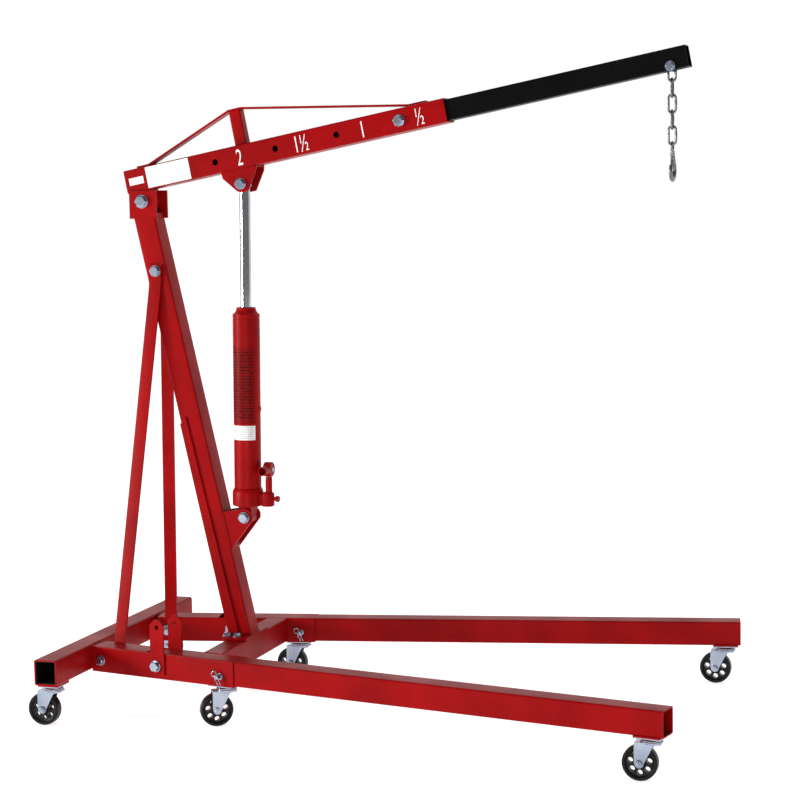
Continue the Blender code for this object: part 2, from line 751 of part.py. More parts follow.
def make_extension():
    extension = square_tube(
        "extension", on_boom(EXTENSION_REAR, EXTENSION_MIDDLE), on_boom(EXTENSION_TIP, EXTENSION_MIDDLE),
        Y_AXIS, EXTENSION_WIDTH, EXTENSION_HEIGHT, EXTENSION_WALL,
    )
    bottom = EXTENSION_MIDDLE - EXTENSION_HEIGHT / 2
    half = CHAIN_SLOT_LENGTH / 2
    outline = [
        on_boom(HOOK_BOLT_REACH + reach, rise, -CHAIN_SLOT_WIDTH / 2)
        for reach, rise in (
            (-half, bottom - 0.01), (half, bottom - 0.01),
            (half, bottom + EXTENSION_WALL * 1.5), (-half, bottom + EXTENSION_WALL * 1.5))
    ]
    slot = prism("slot", outline, Y_AXIS * CHAIN_SLOT_WIDTH)
    lock = on_boom(LOCK_REACH, EXTENSION_MIDDLE, -EXTENSION_WIDTH)
    return cut(
        extension, slot,
        hole(on_boom(HOOK_BOLT_REACH, HOOK_BOLT_RISE, -0.05), Y_AXIS, 0.1, BOLT_12[0]),
        cylinder("hole", lock, lock + Y_AXIS * EXTENSION_WIDTH * 2, BOOM_HOLE_RADIUS, 10),
    )


def make_king_post():
    start = on_boom(POST_REACH, BOOM_TOP + GAP)
    end = on_boom(POST_REACH, BOOM_TOP + POST_HEIGHT)
    return square_tube("king_post", start, end, Y_AXIS, POST_SIZE, POST_SIZE, POST_WALL)


def make_tie_bar():
    """A flat bar over the king post; each bend's normal is halfway between its two runs'."""
    low = BOOM_TOP + GAP + TIE_THICKNESS / 2
    high = BOOM_TOP + POST_HEIGHT + GAP + TIE_THICKNESS / 2
    top_start = POST_REACH - POST_SIZE / 2
    points = [
        (TIE_REAR, low), (TIE_REAR_BEND, low), (top_start, high),
        (top_start + TIE_TOP_FLAT, high), (TIE_FRONT_BEND, low), (TIE_FRONT, low),
    ]
    slopes = [math.atan2(b[1] - a[1], b[0] - a[0]) for a, b in zip(points, points[1:])]
    slopes = [slopes[0]] + slopes + [slopes[-1]]
    rings = []
    for (reach, rise), before, after in zip(points, slopes, slopes[1:]):
        turn = (before + after) / 2
        thick = TIE_THICKNESS / 2 / math.cos((after - before) / 2)
        ring = []
        for y, up in ((-1, -1), (1, -1), (1, 1), (-1, 1)):
            ring.append(on_boom(
                reach - math.sin(turn) * thick * up, rise + math.cos(turn) * thick * up,
                y * TIE_WIDTH / 2,
            ))
        rings.append(ring)
    return loft("tie_bar", rings)


def make_upper_bracket():
    """Two cheeks under the boom joined by a thin web, with the ram's eye between them."""
    seat = BOOM_BOTTOM - GAP
    rear = RAM_TOP_REACH - UPPER_CHEEK_REAR
    front = RAM_TOP_REACH + UPPER_CHEEK_FRONT
    outline = [(rear, seat)]
    outline += [(RAM_TOP_REACH + reach, RAM_TOP_RISE + rise) for reach, rise in UPPER_CHEEK_EDGE]
    outline.append((front, seat))
    points = [on_boom(reach, rise, -RAM_CHEEK_OUTER) for reach, rise in outline]
    bracket = prism("ram_upper_bracket", points, Y_AXIS * RAM_CHEEK_OUTER * 2)
    inner = RAM_CHEEK_OUTER - RAM_CHEEK
    web = seat - UPPER_WEB
    past_rear = rear - PAST
    past_front = front + PAST
    room = [
        on_boom(reach, rise, -inner)
        for reach, rise in ((past_rear, web), (past_front, web), (past_front, -0.1), (past_rear, -0.1))
    ]
    bore = hole(RAM_TOP - Y_AXIS * THROUGH, Y_AXIS, THROUGH * 2, BOLT_16[0])
    return cut(bracket, prism("room", room, Y_AXIS * inner * 2), bore)


def make_lower_bracket():
    """Two cheeks on the mast's front face joined by a web, with the ram's foot eye between them."""
    face = MAST_DEPTH / 2 / math.cos(MAST_LEAN) + GAP
    top_z = RAM_PIN_Z + LOWER_CHEEK_UP
    bottom_z = RAM_PIN_Z - LOWER_CHEEK_DOWN
    outline = [(mast_x(bottom_z) + face, bottom_z), (mast_x(top_z) + face, top_z)]
    for step in range(9):
        angle = math.radians(108 - step * 16)
        outline.append((
            RAM_PIN_X + LOWER_CHEEK_NOSE * math.cos(angle), RAM_PIN_Z + LOWER_CHEEK_NOSE * math.sin(angle)
        ))
    points = [spot(x, -RAM_CHEEK_OUTER, z) for x, z in outline]
    bracket = prism("ram_lower_bracket", points, Y_AXIS * RAM_CHEEK_OUTER * 2)
    inner = RAM_CHEEK_OUTER - RAM_CHEEK
    web = face + RAM_CHEEK
    room = [
        spot(x, -inner, z)
        for x, z in (
            (mast_x(bottom_z - 0.05) + web, bottom_z - 0.05), (mast_x(top_z + 0.05) + web, top_z + 0.05),
            (0.6, top_z + 0.05), (0.6, bottom_z - 0.05))
    ]
    bore = hole(RAM_PIN - Y_AXIS * THROUGH, Y_AXIS, THROUGH * 2, BOLT_16[0])
    return cut(bracket, prism("room", room, Y_AXIS * inner * 2), bore)


def make_ram_base():
    """Foot casting with the lower eye below it and the pump block in front."""
    base = turned(
        "ram_base", RAM_PIN, RAM_ALONG,
        [(RAM_FOOT_BOTTOM, RAM_FOOT_RADIUS - 0.004), (RAM_FOOT_BOTTOM + 0.004, RAM_FOOT_RADIUS),
         (RAM_FOOT_TOP - 0.008, RAM_FOOT_RADIUS), (RAM_FOOT_TOP, CYLINDER_RADIUS + 0.001)],
    )
    half = RAM_EYE_HALF
    neck_half = RAM_EYE_RADIUS * 0.98
    neck_top = RAM_FOOT_BOTTOM + 0.006
    neck = prism(
        "neck",
        [on_ram(rise, forward, -half)
         for rise, forward in (
             (0, -neck_half), (0, neck_half), (neck_top, neck_half), (neck_top, -neck_half))],
        Y_AXIS * half * 2,
    )
    eye_half = Y_AXIS * (half - 0.0002)
    eye = cylinder("eye", RAM_PIN - eye_half, RAM_PIN + eye_half, RAM_EYE_RADIUS)
    pump = prism(
        "pump",
        [on_ram(rise, forward, -PUMP_HALF)
         for rise, forward in (
             (PUMP_BOTTOM, 0.010), (PUMP_BOTTOM, PUMP_FRONT), (PUMP_TOP, PUMP_FRONT), (PUMP_TOP, 0.010))],
        Y_AXIS * PUMP_HALF * 2,
    )
    join(base, neck, eye, pump)
    well = cylinder(
        "well", on_ram(PUMP_BOTTOM + 0.005, PLUNGER_OFFSET), on_ram(PUMP_TOP + 0.01, PLUNGER_OFFSET),
        PLUNGER_RADIUS + BOLT_GAP,
    )
    return cut(base, well, hole(RAM_PIN - Y_AXIS * THROUGH, Y_AXIS, THROUGH * 2, BOLT_16[0]))


def make_cylinder():
    """The barrel is hollow; only the narrow gland at its top meets the rod."""
    floor = RAM_FOOT_TOP + GAP
    gland = ROD_RADIUS + ROD_GAP
    return turned(
        "ram_cylinder", RAM_PIN, RAM_ALONG,
        [(floor, CYLINDER_RADIUS), (CYLINDER_SHOULDER, CYLINDER_RADIUS), (CYLINDER_TOP, CYLINDER_CAP_RADIUS),
         (CYLINDER_TOP, gland), (CYLINDER_SHOULDER, gland), (CYLINDER_SHOULDER, CYLINDER_BORE),
         (floor + CYLINDER_FLOOR, CYLINDER_BORE)],
        sides=24,
    )


def make_rod():
    """Rod with its piston inside the barrel and its eye between the upper cheeks."""
    piston = CYLINDER_BORE - ROD_GAP
    end = RAM_LENGTH - RAM_EYE_RADIUS * 0.5
    rod = turned(
        "ram_rod", RAM_PIN, RAM_ALONG,
        [(PISTON_BOTTOM, piston), (PISTON_BOTTOM + PISTON_LENGTH, piston),
         (PISTON_BOTTOM + PISTON_LENGTH, ROD_RADIUS), (end, ROD_RADIUS)],
        sides=24,
    )
    half = RAM_EYE_HALF
    eye = cylinder("eye", RAM_TOP - Y_AXIS * half, RAM_TOP + Y_AXIS * half, RAM_EYE_RADIUS)
    join(rod, eye)
    return cut(rod, hole(RAM_TOP - Y_AXIS * THROUGH, Y_AXIS, THROUGH * 2, BOLT_16[0]))


def make_plunger():
    low = on_ram(PLUNGER_BOTTOM, PLUNGER_OFFSET)
    return cylinder("pump_plunger", low, on_ram(PLUNGER_TOP, PLUNGER_OFFSET), PLUNGER_RADIUS)


KNUCKLE = on_ram(PLUNGER_TOP + BOLT_GAP + KNUCKLE_RADIUS, PLUNGER_OFFSET)


def make_socket():
    """Round knuckle over the plunger with the pump handle's socket in front of it."""
    knuckle = cylinder(
        "handle_socket", KNUCKLE - RAM_FORWARD * KNUCKLE_HALF, KNUCKLE + RAM_FORWARD * KNUCKLE_HALF,
        KNUCKLE_RADIUS, 20,
    )
    mouth = KNUCKLE - Y_AXIS * SOCKET_REACH
    join(knuckle, cylinder("tube", mouth, KNUCKLE, SOCKET_RADIUS, 20))
    bottom = mouth + Y_AXIS * SOCKET_DEPTH
    return cut(knuckle, cylinder("bore", mouth - Y_AXIS * 0.01, bottom, SOCKET_BORE, 20))


VALVE = on_ram(VALVE_RISE, PUMP_FRONT + GAP)


def make_valve():
    grip = VALVE_LENGTH / 3
    return turned(
        "release_valve", VALVE, RAM_FORWARD,
        [(0, VALVE_RADIUS * 0.6), (grip, VALVE_RADIUS * 0.6), (grip, VALVE_RADIUS),
         (VALVE_LENGTH, VALVE_RADIUS)],
        sides=12,
    )


HOOK_BOLT = on_boom(HOOK_BOLT_REACH, HOOK_BOLT_RISE)
LINK_PITCH = LINK_INNER_LENGTH - GAP


def link_middle(index):
    """Middle of a chain link; the first one hangs on the hook bolt."""
    first = HOOK_BOLT.z + BOLT_12[0] + GAP - LINK_INNER_LENGTH / 2
    return Vector((HOOK_BOLT.x, 0, first - index * LINK_PITCH))


def link_pivot(index):
    """Where a link, or the hook after the last one, turns on what it hangs from."""
    if index == 0:
        return HOOK_BOLT.copy()
    return link_middle(index - 1) - Z_AXIS * (LINK_INNER_LENGTH / 2 + LINK_WIRE)


def make_link(index):
    """Even links lie across Y and odd ones across X; each is a stadium of round wire."""
    side = X_AXIS if index % 2 == 0 else Y_AXIS
    bend = LINK_INNER_WIDTH / 2 + LINK_WIRE
    straight = (LINK_INNER_LENGTH - LINK_INNER_WIDTH) / 2
    middle = link_middle(index)
    path = []
    normals = []
    for half in (1, -1):
        for step in range(7):
            angle = math.pi * step / 6 + (0 if half == 1 else math.pi)
            normal = side * math.cos(angle) + Z_AXIS * math.sin(angle)
            path.append(middle + Z_AXIS * straight * half + normal * bend)
            normals.append(normal)
    return sweep(f"chain_link_{index + 1}", path, normals, [LINK_WIRE] * len(path), loop=True)


HOOK_PIVOT = link_pivot(LINKS)
HOOK_EYE = HOOK_PIVOT + Z_AXIS * (LINK_WIRE + GAP - EYE_INNER)
HOOK_MIDDLE = HOOK_EYE - Z_AXIS * HOOK_DROP
LATCH_PIVOT = HOOK_MIDDLE + Vector((0, *LATCH_TURN))


def make_hook():
    """Eye, shank and a round hook that narrows to its tip, all in the plane across X."""
    ring = (EYE_OUTER - EYE_INNER) / 2
    path = []
    normals = []
    for step in range(16):
        angle = 2 * math.pi * step / 16
        normal = Y_AXIS * math.cos(angle) + Z_AXIS * math.sin(angle)
        path.append(HOOK_EYE + normal * (EYE_INNER + ring))
        normals.append(normal)
    hook = sweep("hook", path, normals, [ring] * len(path), loop=True)
    path = [HOOK_EYE - Z_AXIS * (EYE_INNER + ring)]
    normals = [Y_AXIS]
    radii = [HOOK_BODY * 0.8]
    for step in range(15):
        share = step / 14
        angle = math.radians(68 - 290 * share)
        normal = Y_AXIS * math.cos(angle) + Z_AXIS * math.sin(angle)
        path.append(HOOK_MIDDLE + normal * (HOOK_CURVE + HOOK_BODY))
        normals.append(normal)
        radii.append(HOOK_BODY + (HOOK_TIP - HOOK_BODY) * max(0.0, 2 * share - 1))
    return join(hook, sweep("curve", path, normals, radii))


def make_latch():
    """Sprung latch that closes the hook's mouth from the shank to the tip."""
    half = LATCH_WIDTH / 2
    tip = HOOK_MIDDLE + Vector((0, *LATCH_TIP))
    along = (tip - LATCH_PIVOT).normalized()
    across = X_AXIS.cross(along) * LATCH_THICKNESS / 2
    outline = [LATCH_PIVOT - across, LATCH_PIVOT + across, tip + across, tip - across]
    return prism("hook_latch", [point - X_AXIS * half for point in outline], X_AXIS * half * 2)


def make_fork():
    """A caster fork round its swivel axis at the origin, trailing towards -X."""
    axle = Vector((-CASTER_TRAIL, 0, WHEEL_RADIUS))
    outer = FORK_INNER + FORK_WALL
    outline = list(FORK_TOP)
    for step in range(6):
        angle = math.pi + math.pi * step / 5
        outline.append((axle.x + FORK_NOSE * math.cos(angle), axle.z + FORK_NOSE * math.sin(angle)))
    outline += FORK_FRONT
    fork = prism("fork", [Vector((x, -outer, z)) for x, z in outline], Y_AXIS * outer * 2)
    cut(fork, block("slot", (-0.1, -FORK_INNER, -0.01), (0.1, FORK_INNER, CROWN_BOTTOM)))
    head = turned(
        "head", Vector((0, 0, 0)), Z_AXIS,
        [(CROWN_BOTTOM + 0.001, RACE_NECK), (CROWN_TOP + 0.001, RACE_RADIUS),
         (CROWN_TOP + RACE_HEIGHT, RACE_RADIUS), (CASTER_TOP - GAP, RACE_NECK)],
        sides=12,
    )
    reach = Y_AXIS * (outer + AXLE_HEAD_HEIGHT)
    heads = cylinder("heads", axle - reach, axle + reach, AXLE_HEAD, 6)
    cut(heads, block("between", (-0.1, -FORK_INNER, 0), (0.1, FORK_INNER, 0.1)))
    shank = cylinder("shank", axle - Y_AXIS * outer, axle + Y_AXIS * outer, AXLE_RADIUS, 12)
    return join(fork, head, heads, shank)


def make_wheel():
    """A caster wheel round its own axle at the origin, with a ring of round holes."""
    bore = AXLE_RADIUS + BOLT_GAP
    hub = FORK_INNER - BOLT_GAP
    half = [
        (WHEEL_HALF - WHEEL_EDGE, WHEEL_RADIUS), (WHEEL_HALF, WHEEL_RADIUS - WHEEL_EDGE),
        (WHEEL_HALF, WHEEL_HUB), (hub, WHEEL_HUB), (hub, bore),
    ]
    stations = [(-distance, radius) for distance, radius in reversed(half)] + half
    wheel = turned("wheel", Vector((0, 0, 0)), Y_AXIS, stations, sides=20, loop=True)
    reach = Y_AXIS * (WHEEL_HALF * 2)
    holes = []
    for index in range(WHEEL_HOLES):
        angle = 2 * math.pi * (index + WHEEL_HOLE_TURN) / WHEEL_HOLES
        middle = Vector((math.cos(angle), 0, math.sin(angle))) * WHEEL_HOLE_RING
        holes.append(cylinder("hole", middle - reach, middle + reach, WHEEL_HOLE_RADIUS, 8))
    cut(wheel, *holes)
    return wheel


def set_origin(item, point):
    item.data.transform(Matrix.Translation(-point))
    item.location = point


def finish(item, finish_name):
    """Own material, and smooth shading that stops at real edges."""
    item.data.materials.clear()
    item.data.materials.append(finish_material(finish_name))
    item.data.shade_smooth()
    item.data.set_sharp_from_angle(angle=math.radians(35))


def empty(name, point, parent=None):
    item = bpy.data.objects.new(name, None)
    bpy.context.collection.objects.link(item)
    hang(item, point, parent)
    return item


def hang(item, point, parent):
    """Places an item at a world point under an unturned parent empty."""
    item.location = point
    if parent is not None:
        bpy.context.view_layer.update()
        item.parent = parent
        item.location = point - parent.matrix_world.translation


def place_body(items, finish_name, point, parent):
    for item in items:
        finish(item, finish_name)
        set_origin(item, point)
        hang(item, point, parent)


def caster_places():
    """Name, swivel point on the floor and yaw of each caster, with what carries it."""
    places = []
    for name, side in (("near", -1), ("far", 1)):
        rear = spot(REAR_CASTER_X, side * REAR_CASTER_Y, 0)
        middle = on_sleeve(side, MIDDLE_CASTER_REACH, SLEEVE_MIDDLE, 0)
        front = on_sleeve(side, FRONT_CASTER_REACH, SLEEVE_MIDDLE, 0)
        yaw = NEAR_MIDDLE_YAW if side < 0 else 0.0
        places += [
            (f"rear_{name}", rear, 0.0, "frame"),
            (f"middle_{name}", middle, yaw, "frame"),
            (f"front_{name}", front, 0.0, f"leg_{name}"),
        ]
    return places


def make_casters(carriers):
    fork_pattern = make_fork()
    wheel_pattern = make_wheel()
    finish(fork_pattern, "zinc")
    finish(wheel_pattern, "black_plastic")
    for name, point, yaw, carrier in caster_places():
        swivel = empty(f"caster_{name}_swivel", point, carriers[carrier])
        swivel.rotation_euler = (0, 0, yaw)
        fork = bpy.data.objects.new(f"caster_fork_{name}", fork_pattern.data)
        bpy.context.collection.objects.link(fork)
        fork.parent = swivel
        wheel = bpy.data.objects.new(f"caster_wheel_{name}", wheel_pattern.data)
        bpy.context.collection.objects.link(wheel)
        wheel.parent = swivel
        wheel.location = (-CASTER_TRAIL, 0, WHEEL_RADIUS)
    bpy.data.objects.remove(fork_pattern)
    bpy.data.objects.remove(wheel_pattern)


def make_frame(root):
    """Everything that stays still: beams, sleeves, mast, braces and their bolts."""
    painted = [
        make_rear_beam(), make_cross_beam(), make_base_plate(), make_mast(), make_head_bracket(),
        make_lower_bracket(),
    ]
    plated = []
    for name, side in (("near", -1), ("far", 1)):
        painted += [
            make_sleeve(f"sleeve_{name}", side), make_stiffener(f"stiffener_{name}", side),
            make_brace(f"brace_{name}", side), make_strap(f"strap_outer_{name}", side, 0),
            make_strap(f"strap_inner_{name}", side, 1),
        ]
        across = -sleeve_out(side)
        strap_face = GAP + STRAP_THICKNESS
        plated += [
            bolt(f"leg_pivot_bolt_{name}", on_sleeve(side, LEG_PIVOT_REACH, strap_face, LEG_MIDDLE_Z),
                 across, SLEEVE_WIDTH + 2 * strap_face, BOLT_16),
            bolt(f"brace_bolt_{name}", on_sleeve(side, BRACE_FOOT_REACH, 0, BRACE_LOW_BOLT_Z),
                 across, SLEEVE_WIDTH + BOLT_GAP + BRACE_THICKNESS, BOLT_14),
            bolt(f"lock_pin_{name}", on_sleeve(side, LOCK_PIN_REACH, 0, LOCK_PIN_Z),
                 across, SLEEVE_WALL, BOLT_12, nut=False),
        ]
    brace_face = MAST_WIDTH / 2 + BOLT_GAP + BRACE_THICKNESS
    head_face = MAST_WIDTH / 2 + BOLT_GAP + HEAD_PLATE
    brace_start = spot(mast_x(BRACE_BOLT_Z), -brace_face, BRACE_BOLT_Z)
    plated += [
        bolt("brace_top_bolt", brace_start, Y_AXIS, brace_face * 2, BOLT_16),
        bolt("boom_pivot_bolt", PIVOT - Y_AXIS * head_face, Y_AXIS, head_face * 2, BOLT_20),
        bolt("ram_lower_bolt", RAM_PIN - Y_AXIS * RAM_CHEEK_OUTER, Y_AXIS, RAM_CHEEK_OUTER * 2, BOLT_16),
    ]
    place_body(painted, "red_paint", spot(0, 0, 0), root)
    place_body(plated, "zinc", spot(0, 0, 0), root)


def make_lift(root):
    """Boom, extension, chain and hook, each hung from the piece before it."""
    boom = empty("boom_pivot", PIVOT, root)
    place_body(
        [make_boom(), make_king_post(), make_tie_bar(), make_upper_bracket()], "red_paint", PIVOT, boom
    )
    lock_face = on_boom(LOCK_REACH, EXTENSION_MIDDLE, -BOOM_WIDTH / 2)
    place_body(
        [bolt("extension_bolt", lock_face, Y_AXIS, BOOM_WALL, BOLT_16, nut=False),
         bolt("ram_upper_bolt", RAM_TOP - Y_AXIS * RAM_CHEEK_OUTER, Y_AXIS, RAM_CHEEK, BOLT_16, nut=False)],
        "zinc", PIVOT, boom,
    )
    slide = empty("extension_slide", on_boom(EXTENSION_REAR, EXTENSION_MIDDLE), boom)
    place_body([make_extension()], "black_paint", slide.matrix_world.translation.copy(), slide)
    half = EXTENSION_WIDTH / 2
    hook_bolt = bolt("hook_bolt", HOOK_BOLT - Y_AXIS * half, Y_AXIS, half * 2, BOLT_12)
    place_body([hook_bolt], "zinc", HOOK_BOLT, slide)
    carrier = slide
    for index in range(LINKS):
        carrier = empty(f"chain_pivot_{index + 1}", link_pivot(index), carrier)
        place_body([make_link(index)], "dark_steel", link_pivot(index), carrier)
    carrier = empty("hook_pivot", HOOK_PIVOT, carrier)
    place_body([make_hook()], "dark_steel", HOOK_PIVOT, carrier)
    latch = empty("latch_pivot", LATCH_PIVOT, carrier)
    place_body([make_latch()], "zinc", LATCH_PIVOT, latch)


def make_ram(root):
    """Ram and hand pump on the mast's bracket."""
    ram = empty("ram_pivot", RAM_PIN, root)
    place_body([make_ram_base(), make_cylinder()], "red_paint", RAM_PIN, ram)
    place_body([make_rod()], "chrome", RAM_TOP, ram)
    place_body([make_valve()], "zinc", VALVE, ram)
    plunger_foot = on_ram(PLUNGER_BOTTOM, PLUNGER_OFFSET)
    plunger = empty("pump_slide", plunger_foot, ram)
    place_body([make_plunger()], "zinc", plunger_foot, plunger)
    place_body([make_socket()], "red_paint", KNUCKLE, plunger)


def build():
    remove_all()
    root = empty("frame", spot(0, 0, 0))
    bpy.context.view_layer.update()
    carriers = {"frame": root}
    make_frame(root)
    for name, side in (("near", -1), ("far", 1)):
        pivot = on_sleeve(side, LEG_PIVOT_REACH, SLEEVE_MIDDLE, LEG_MIDDLE_Z)
        carriers[f"leg_{name}"] = empty(f"leg_{name}_pivot", pivot, root)
        place_body([make_leg(f"leg_{name}", side)], "red_paint", pivot, carriers[f"leg_{name}"])
    make_lift(root)
    make_ram(root)
    make_casters(carriers)


build()
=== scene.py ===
"""Looks of a folding engine hoist: painted tube, plated bolts, hydraulic ram, chain, hook and casters."""
import json
import math

import bmesh
import bpy
import numpy as np
from mathutils import Matrix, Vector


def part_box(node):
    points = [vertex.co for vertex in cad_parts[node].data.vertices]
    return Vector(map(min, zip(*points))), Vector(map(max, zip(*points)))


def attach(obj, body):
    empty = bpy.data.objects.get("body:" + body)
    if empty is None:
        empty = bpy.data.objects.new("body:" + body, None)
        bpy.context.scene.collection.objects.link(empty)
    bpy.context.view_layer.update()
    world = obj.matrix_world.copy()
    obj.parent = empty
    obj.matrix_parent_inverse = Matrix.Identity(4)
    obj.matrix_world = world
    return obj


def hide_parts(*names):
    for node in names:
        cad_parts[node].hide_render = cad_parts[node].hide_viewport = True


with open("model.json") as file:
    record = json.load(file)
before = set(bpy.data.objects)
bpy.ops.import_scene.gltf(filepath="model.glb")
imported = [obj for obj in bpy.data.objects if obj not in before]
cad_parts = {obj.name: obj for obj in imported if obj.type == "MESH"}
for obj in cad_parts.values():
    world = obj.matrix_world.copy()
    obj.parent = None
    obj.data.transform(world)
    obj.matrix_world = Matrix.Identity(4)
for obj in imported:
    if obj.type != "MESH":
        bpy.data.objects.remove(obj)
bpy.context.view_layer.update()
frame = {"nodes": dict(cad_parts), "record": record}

X = np.array([1.0, 0.0, 0.0])
Y = np.array([0.0, 1.0, 0.0])
Z = np.array([0.0, 0.0, 1.0])
SKIN = 0.0003                   # a label or paint mark above the face it is on
JOINTS = {joint["name"]: joint for joint in frame["record"]["behaviour"]["joints"]}
BODY_OF = {
    node: body for body, nodes in frame["record"]["behaviour"]["bodies"].items() for node in nodes
}
SLOT_OF = {part["node"]: part["material_slot"] for part in frame["record"]["subparts"]}


def joint_point(name):
    return np.array(JOINTS[name]["pos_m"], dtype=float)


def joint_axis(name):
    return np.array(JOINTS[name]["axis"], dtype=float)


def low(node):
    return np.array(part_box(node)[0], dtype=float)


def high(node):
    return np.array(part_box(node)[1], dtype=float)


def middle(node):
    return (low(node) + high(node)) / 2


# Places and directions that the CAD sets
BEAM_REAR = low("rear_beam")[0]
PIVOT = joint_point("boom_lift")
BOOM_ALONG = joint_axis("extension_slide")
BOOM_UP = np.cross(BOOM_ALONG, Y)
RAM_PIN = joint_point("ram_tilt")
RAM_ALONG = joint_axis("ram_extend")
RAM_FORWARD = np.cross(Y, RAM_ALONG)
KNUCKLE = joint_point("handle_rock")
VALVE = joint_point("release_turn")
HOOK_BOLT = joint_point("chain_swing_1")
HOOK_PIVOT = joint_point("hook_swing")
LATCH_PIVOT = joint_point("latch_press")
SIDES = (("near", -1), ("far", 1))
CASTERS = ("rear_near", "rear_far", "middle_near", "middle_far", "front_near", "front_far")

# Boom and its marks
BOOM_BOTTOM = 0.029
BOOM_HEIGHT = 0.064
BOOM_HALF = 0.033
CAPACITY_MARKS = (("2", 0.309), ("1½", 0.493), ("1", 0.671), ("½", 0.835))
MARK_HEIGHT = 0.046
MARK_NARROWING = 0.55

# Ram
BARREL_RADIUS = 0.0375
BARREL_BOTTOM = 0.0803
BARREL_SHOULDER = 0.564
BARREL_TOP = 0.582
ROD_RADIUS = 0.0155
FOOT_RADIUS = 0.043
EYE_RADIUS = 0.019
EYE_HALF = 0.0243

# Chain and hook
WIRE = 0.0031
LINK_INNER_LENGTH = 0.0405
LINK_INNER_WIDTH = 0.0126
EYE_OUTER = 0.014
EYE_INNER = 0.008
HOOK_DROP = 0.061
HOOK_CURVE = 0.0165
HOOK_BODY = 0.0068

# Bolts, each (shank radius, hexagon corner radius, washer radius)
BOLT_20 = (0.0095, 0.0165, 0.0188)
BOLT_16 = (0.008, 0.0140, 0.0158)
BOLT_14 = (0.007, 0.0125, 0.0148)
BOLT_12 = (0.006, 0.0112, 0.0130)
PLATE_BOLT = (0.006, 0.0105, 0.0125)
CAP_NUT_CORNER = 0.0135
WASHER_THICKNESS = 0.0024
THREAD_PITCH = 0.0010
HEAD_HALF = 0.0395              # half the width over the head bracket, and over the braces
RAM_CHEEK_HALF = 0.0315
EXTENSION_HALF = 0.026

# Sleeves
SLEEVE_WIDTH = 0.070
STRAP = 0.0053                  # a strap's outer face from the sleeve's
LEG_PIVOT_REACH = 0.219
LOCK_PIN_REACH = 0.425
LOCK_PIN_Z = 0.140

# Foot of the mast
MAST_LEAN = 0.2199              # forward for each unit down
MAST_HALF_DEPTH = 0.0327

# Casters
WHEEL_RADIUS = 0.0445
WHEEL_HALF = 0.014
WHEEL_HOLES = 7
HOLE_SIDES = 28
CASTER_TOP = 0.1092


def linked(name, data):
    item = bpy.data.objects.new(name, data)
    bpy.context.collection.objects.link(item)
    return item


def on_boom(reach, rise, y=0.0):
    """A point in the boom's own frame, from the pivot."""
    return PIVOT + BOOM_ALONG * reach + BOOM_UP * rise + Y * y


def on_ram(rise, forward=0.0, y=0.0):
    """A point in the ram's own frame, from its lower pin."""
    return RAM_PIN + RAM_ALONG * rise + RAM_FORWARD * forward + Y * y


# ---------------------------------------------------------------- materials

def new_group(name, inputs, outputs):
    """An empty shader group with float or colour inputs and outputs."""
    group = bpy.data.node_groups.new(name, "ShaderNodeTree")
    for label, kind, value in inputs:
        socket = group.interface.new_socket(label, in_out="INPUT", socket_type=kind)
        socket.default_value = value
    for label, kind in outputs:
        group.interface.new_socket(label, in_out="OUTPUT", socket_type=kind)
    return group, group.nodes.new("NodeGroupInput"), group.nodes.new("NodeGroupOutput")


def noise(tree, source, scale, detail, roughness=0.55):
    texture = tree.nodes.new("ShaderNodeTexNoise")
    texture.inputs["Scale"].default_value = scale
    texture.inputs["Detail"].default_value = detail
    texture.inputs["Roughness"].default_value = roughness
    tree.links.new(source, texture.inputs["Vector"])
    return texture.outputs["Fac"]


def band(tree, value, start, end, to_low=0.0, to_high=1.0):
    """A clamped ramp of a value."""
    ramp = tree.nodes.new("ShaderNodeMapRange")
    ramp.inputs["From Min"].default_value = start
    ramp.inputs["From Max"].default_value = end
    ramp.inputs["To Min"].default_value = to_low
    ramp.inputs["To Max"].default_value = to_high
    tree.links.new(value, ramp.inputs["Value"])
    return ramp.outputs["Result"]


def math_node(tree, operation, first, second):
    node = tree.nodes.new("ShaderNodeMath")
    node.operation = operation
    for index, value in enumerate((first, second)):
        if isinstance(value, (int, float)):
            node.inputs[index].default_value = value
        else:
            tree.links.new(value, node.inputs[index])
    return node.outputs[0]


def mix_colour(tree, mask, first, second):
    node = tree.nodes.new("ShaderNodeMix")
    node.data_type = "RGBA"
    for socket, value in ((node.inputs[0], mask), (node.inputs[6], first), (node.inputs[7], second)):
        if hasattr(value, "is_linked"):
            tree.links.new(value, socket)
        elif isinstance(value, (int, float)):
            socket.default_value = value
        else:
            socket.default_value = (*value, 1.0)
    return node.outputs[2]


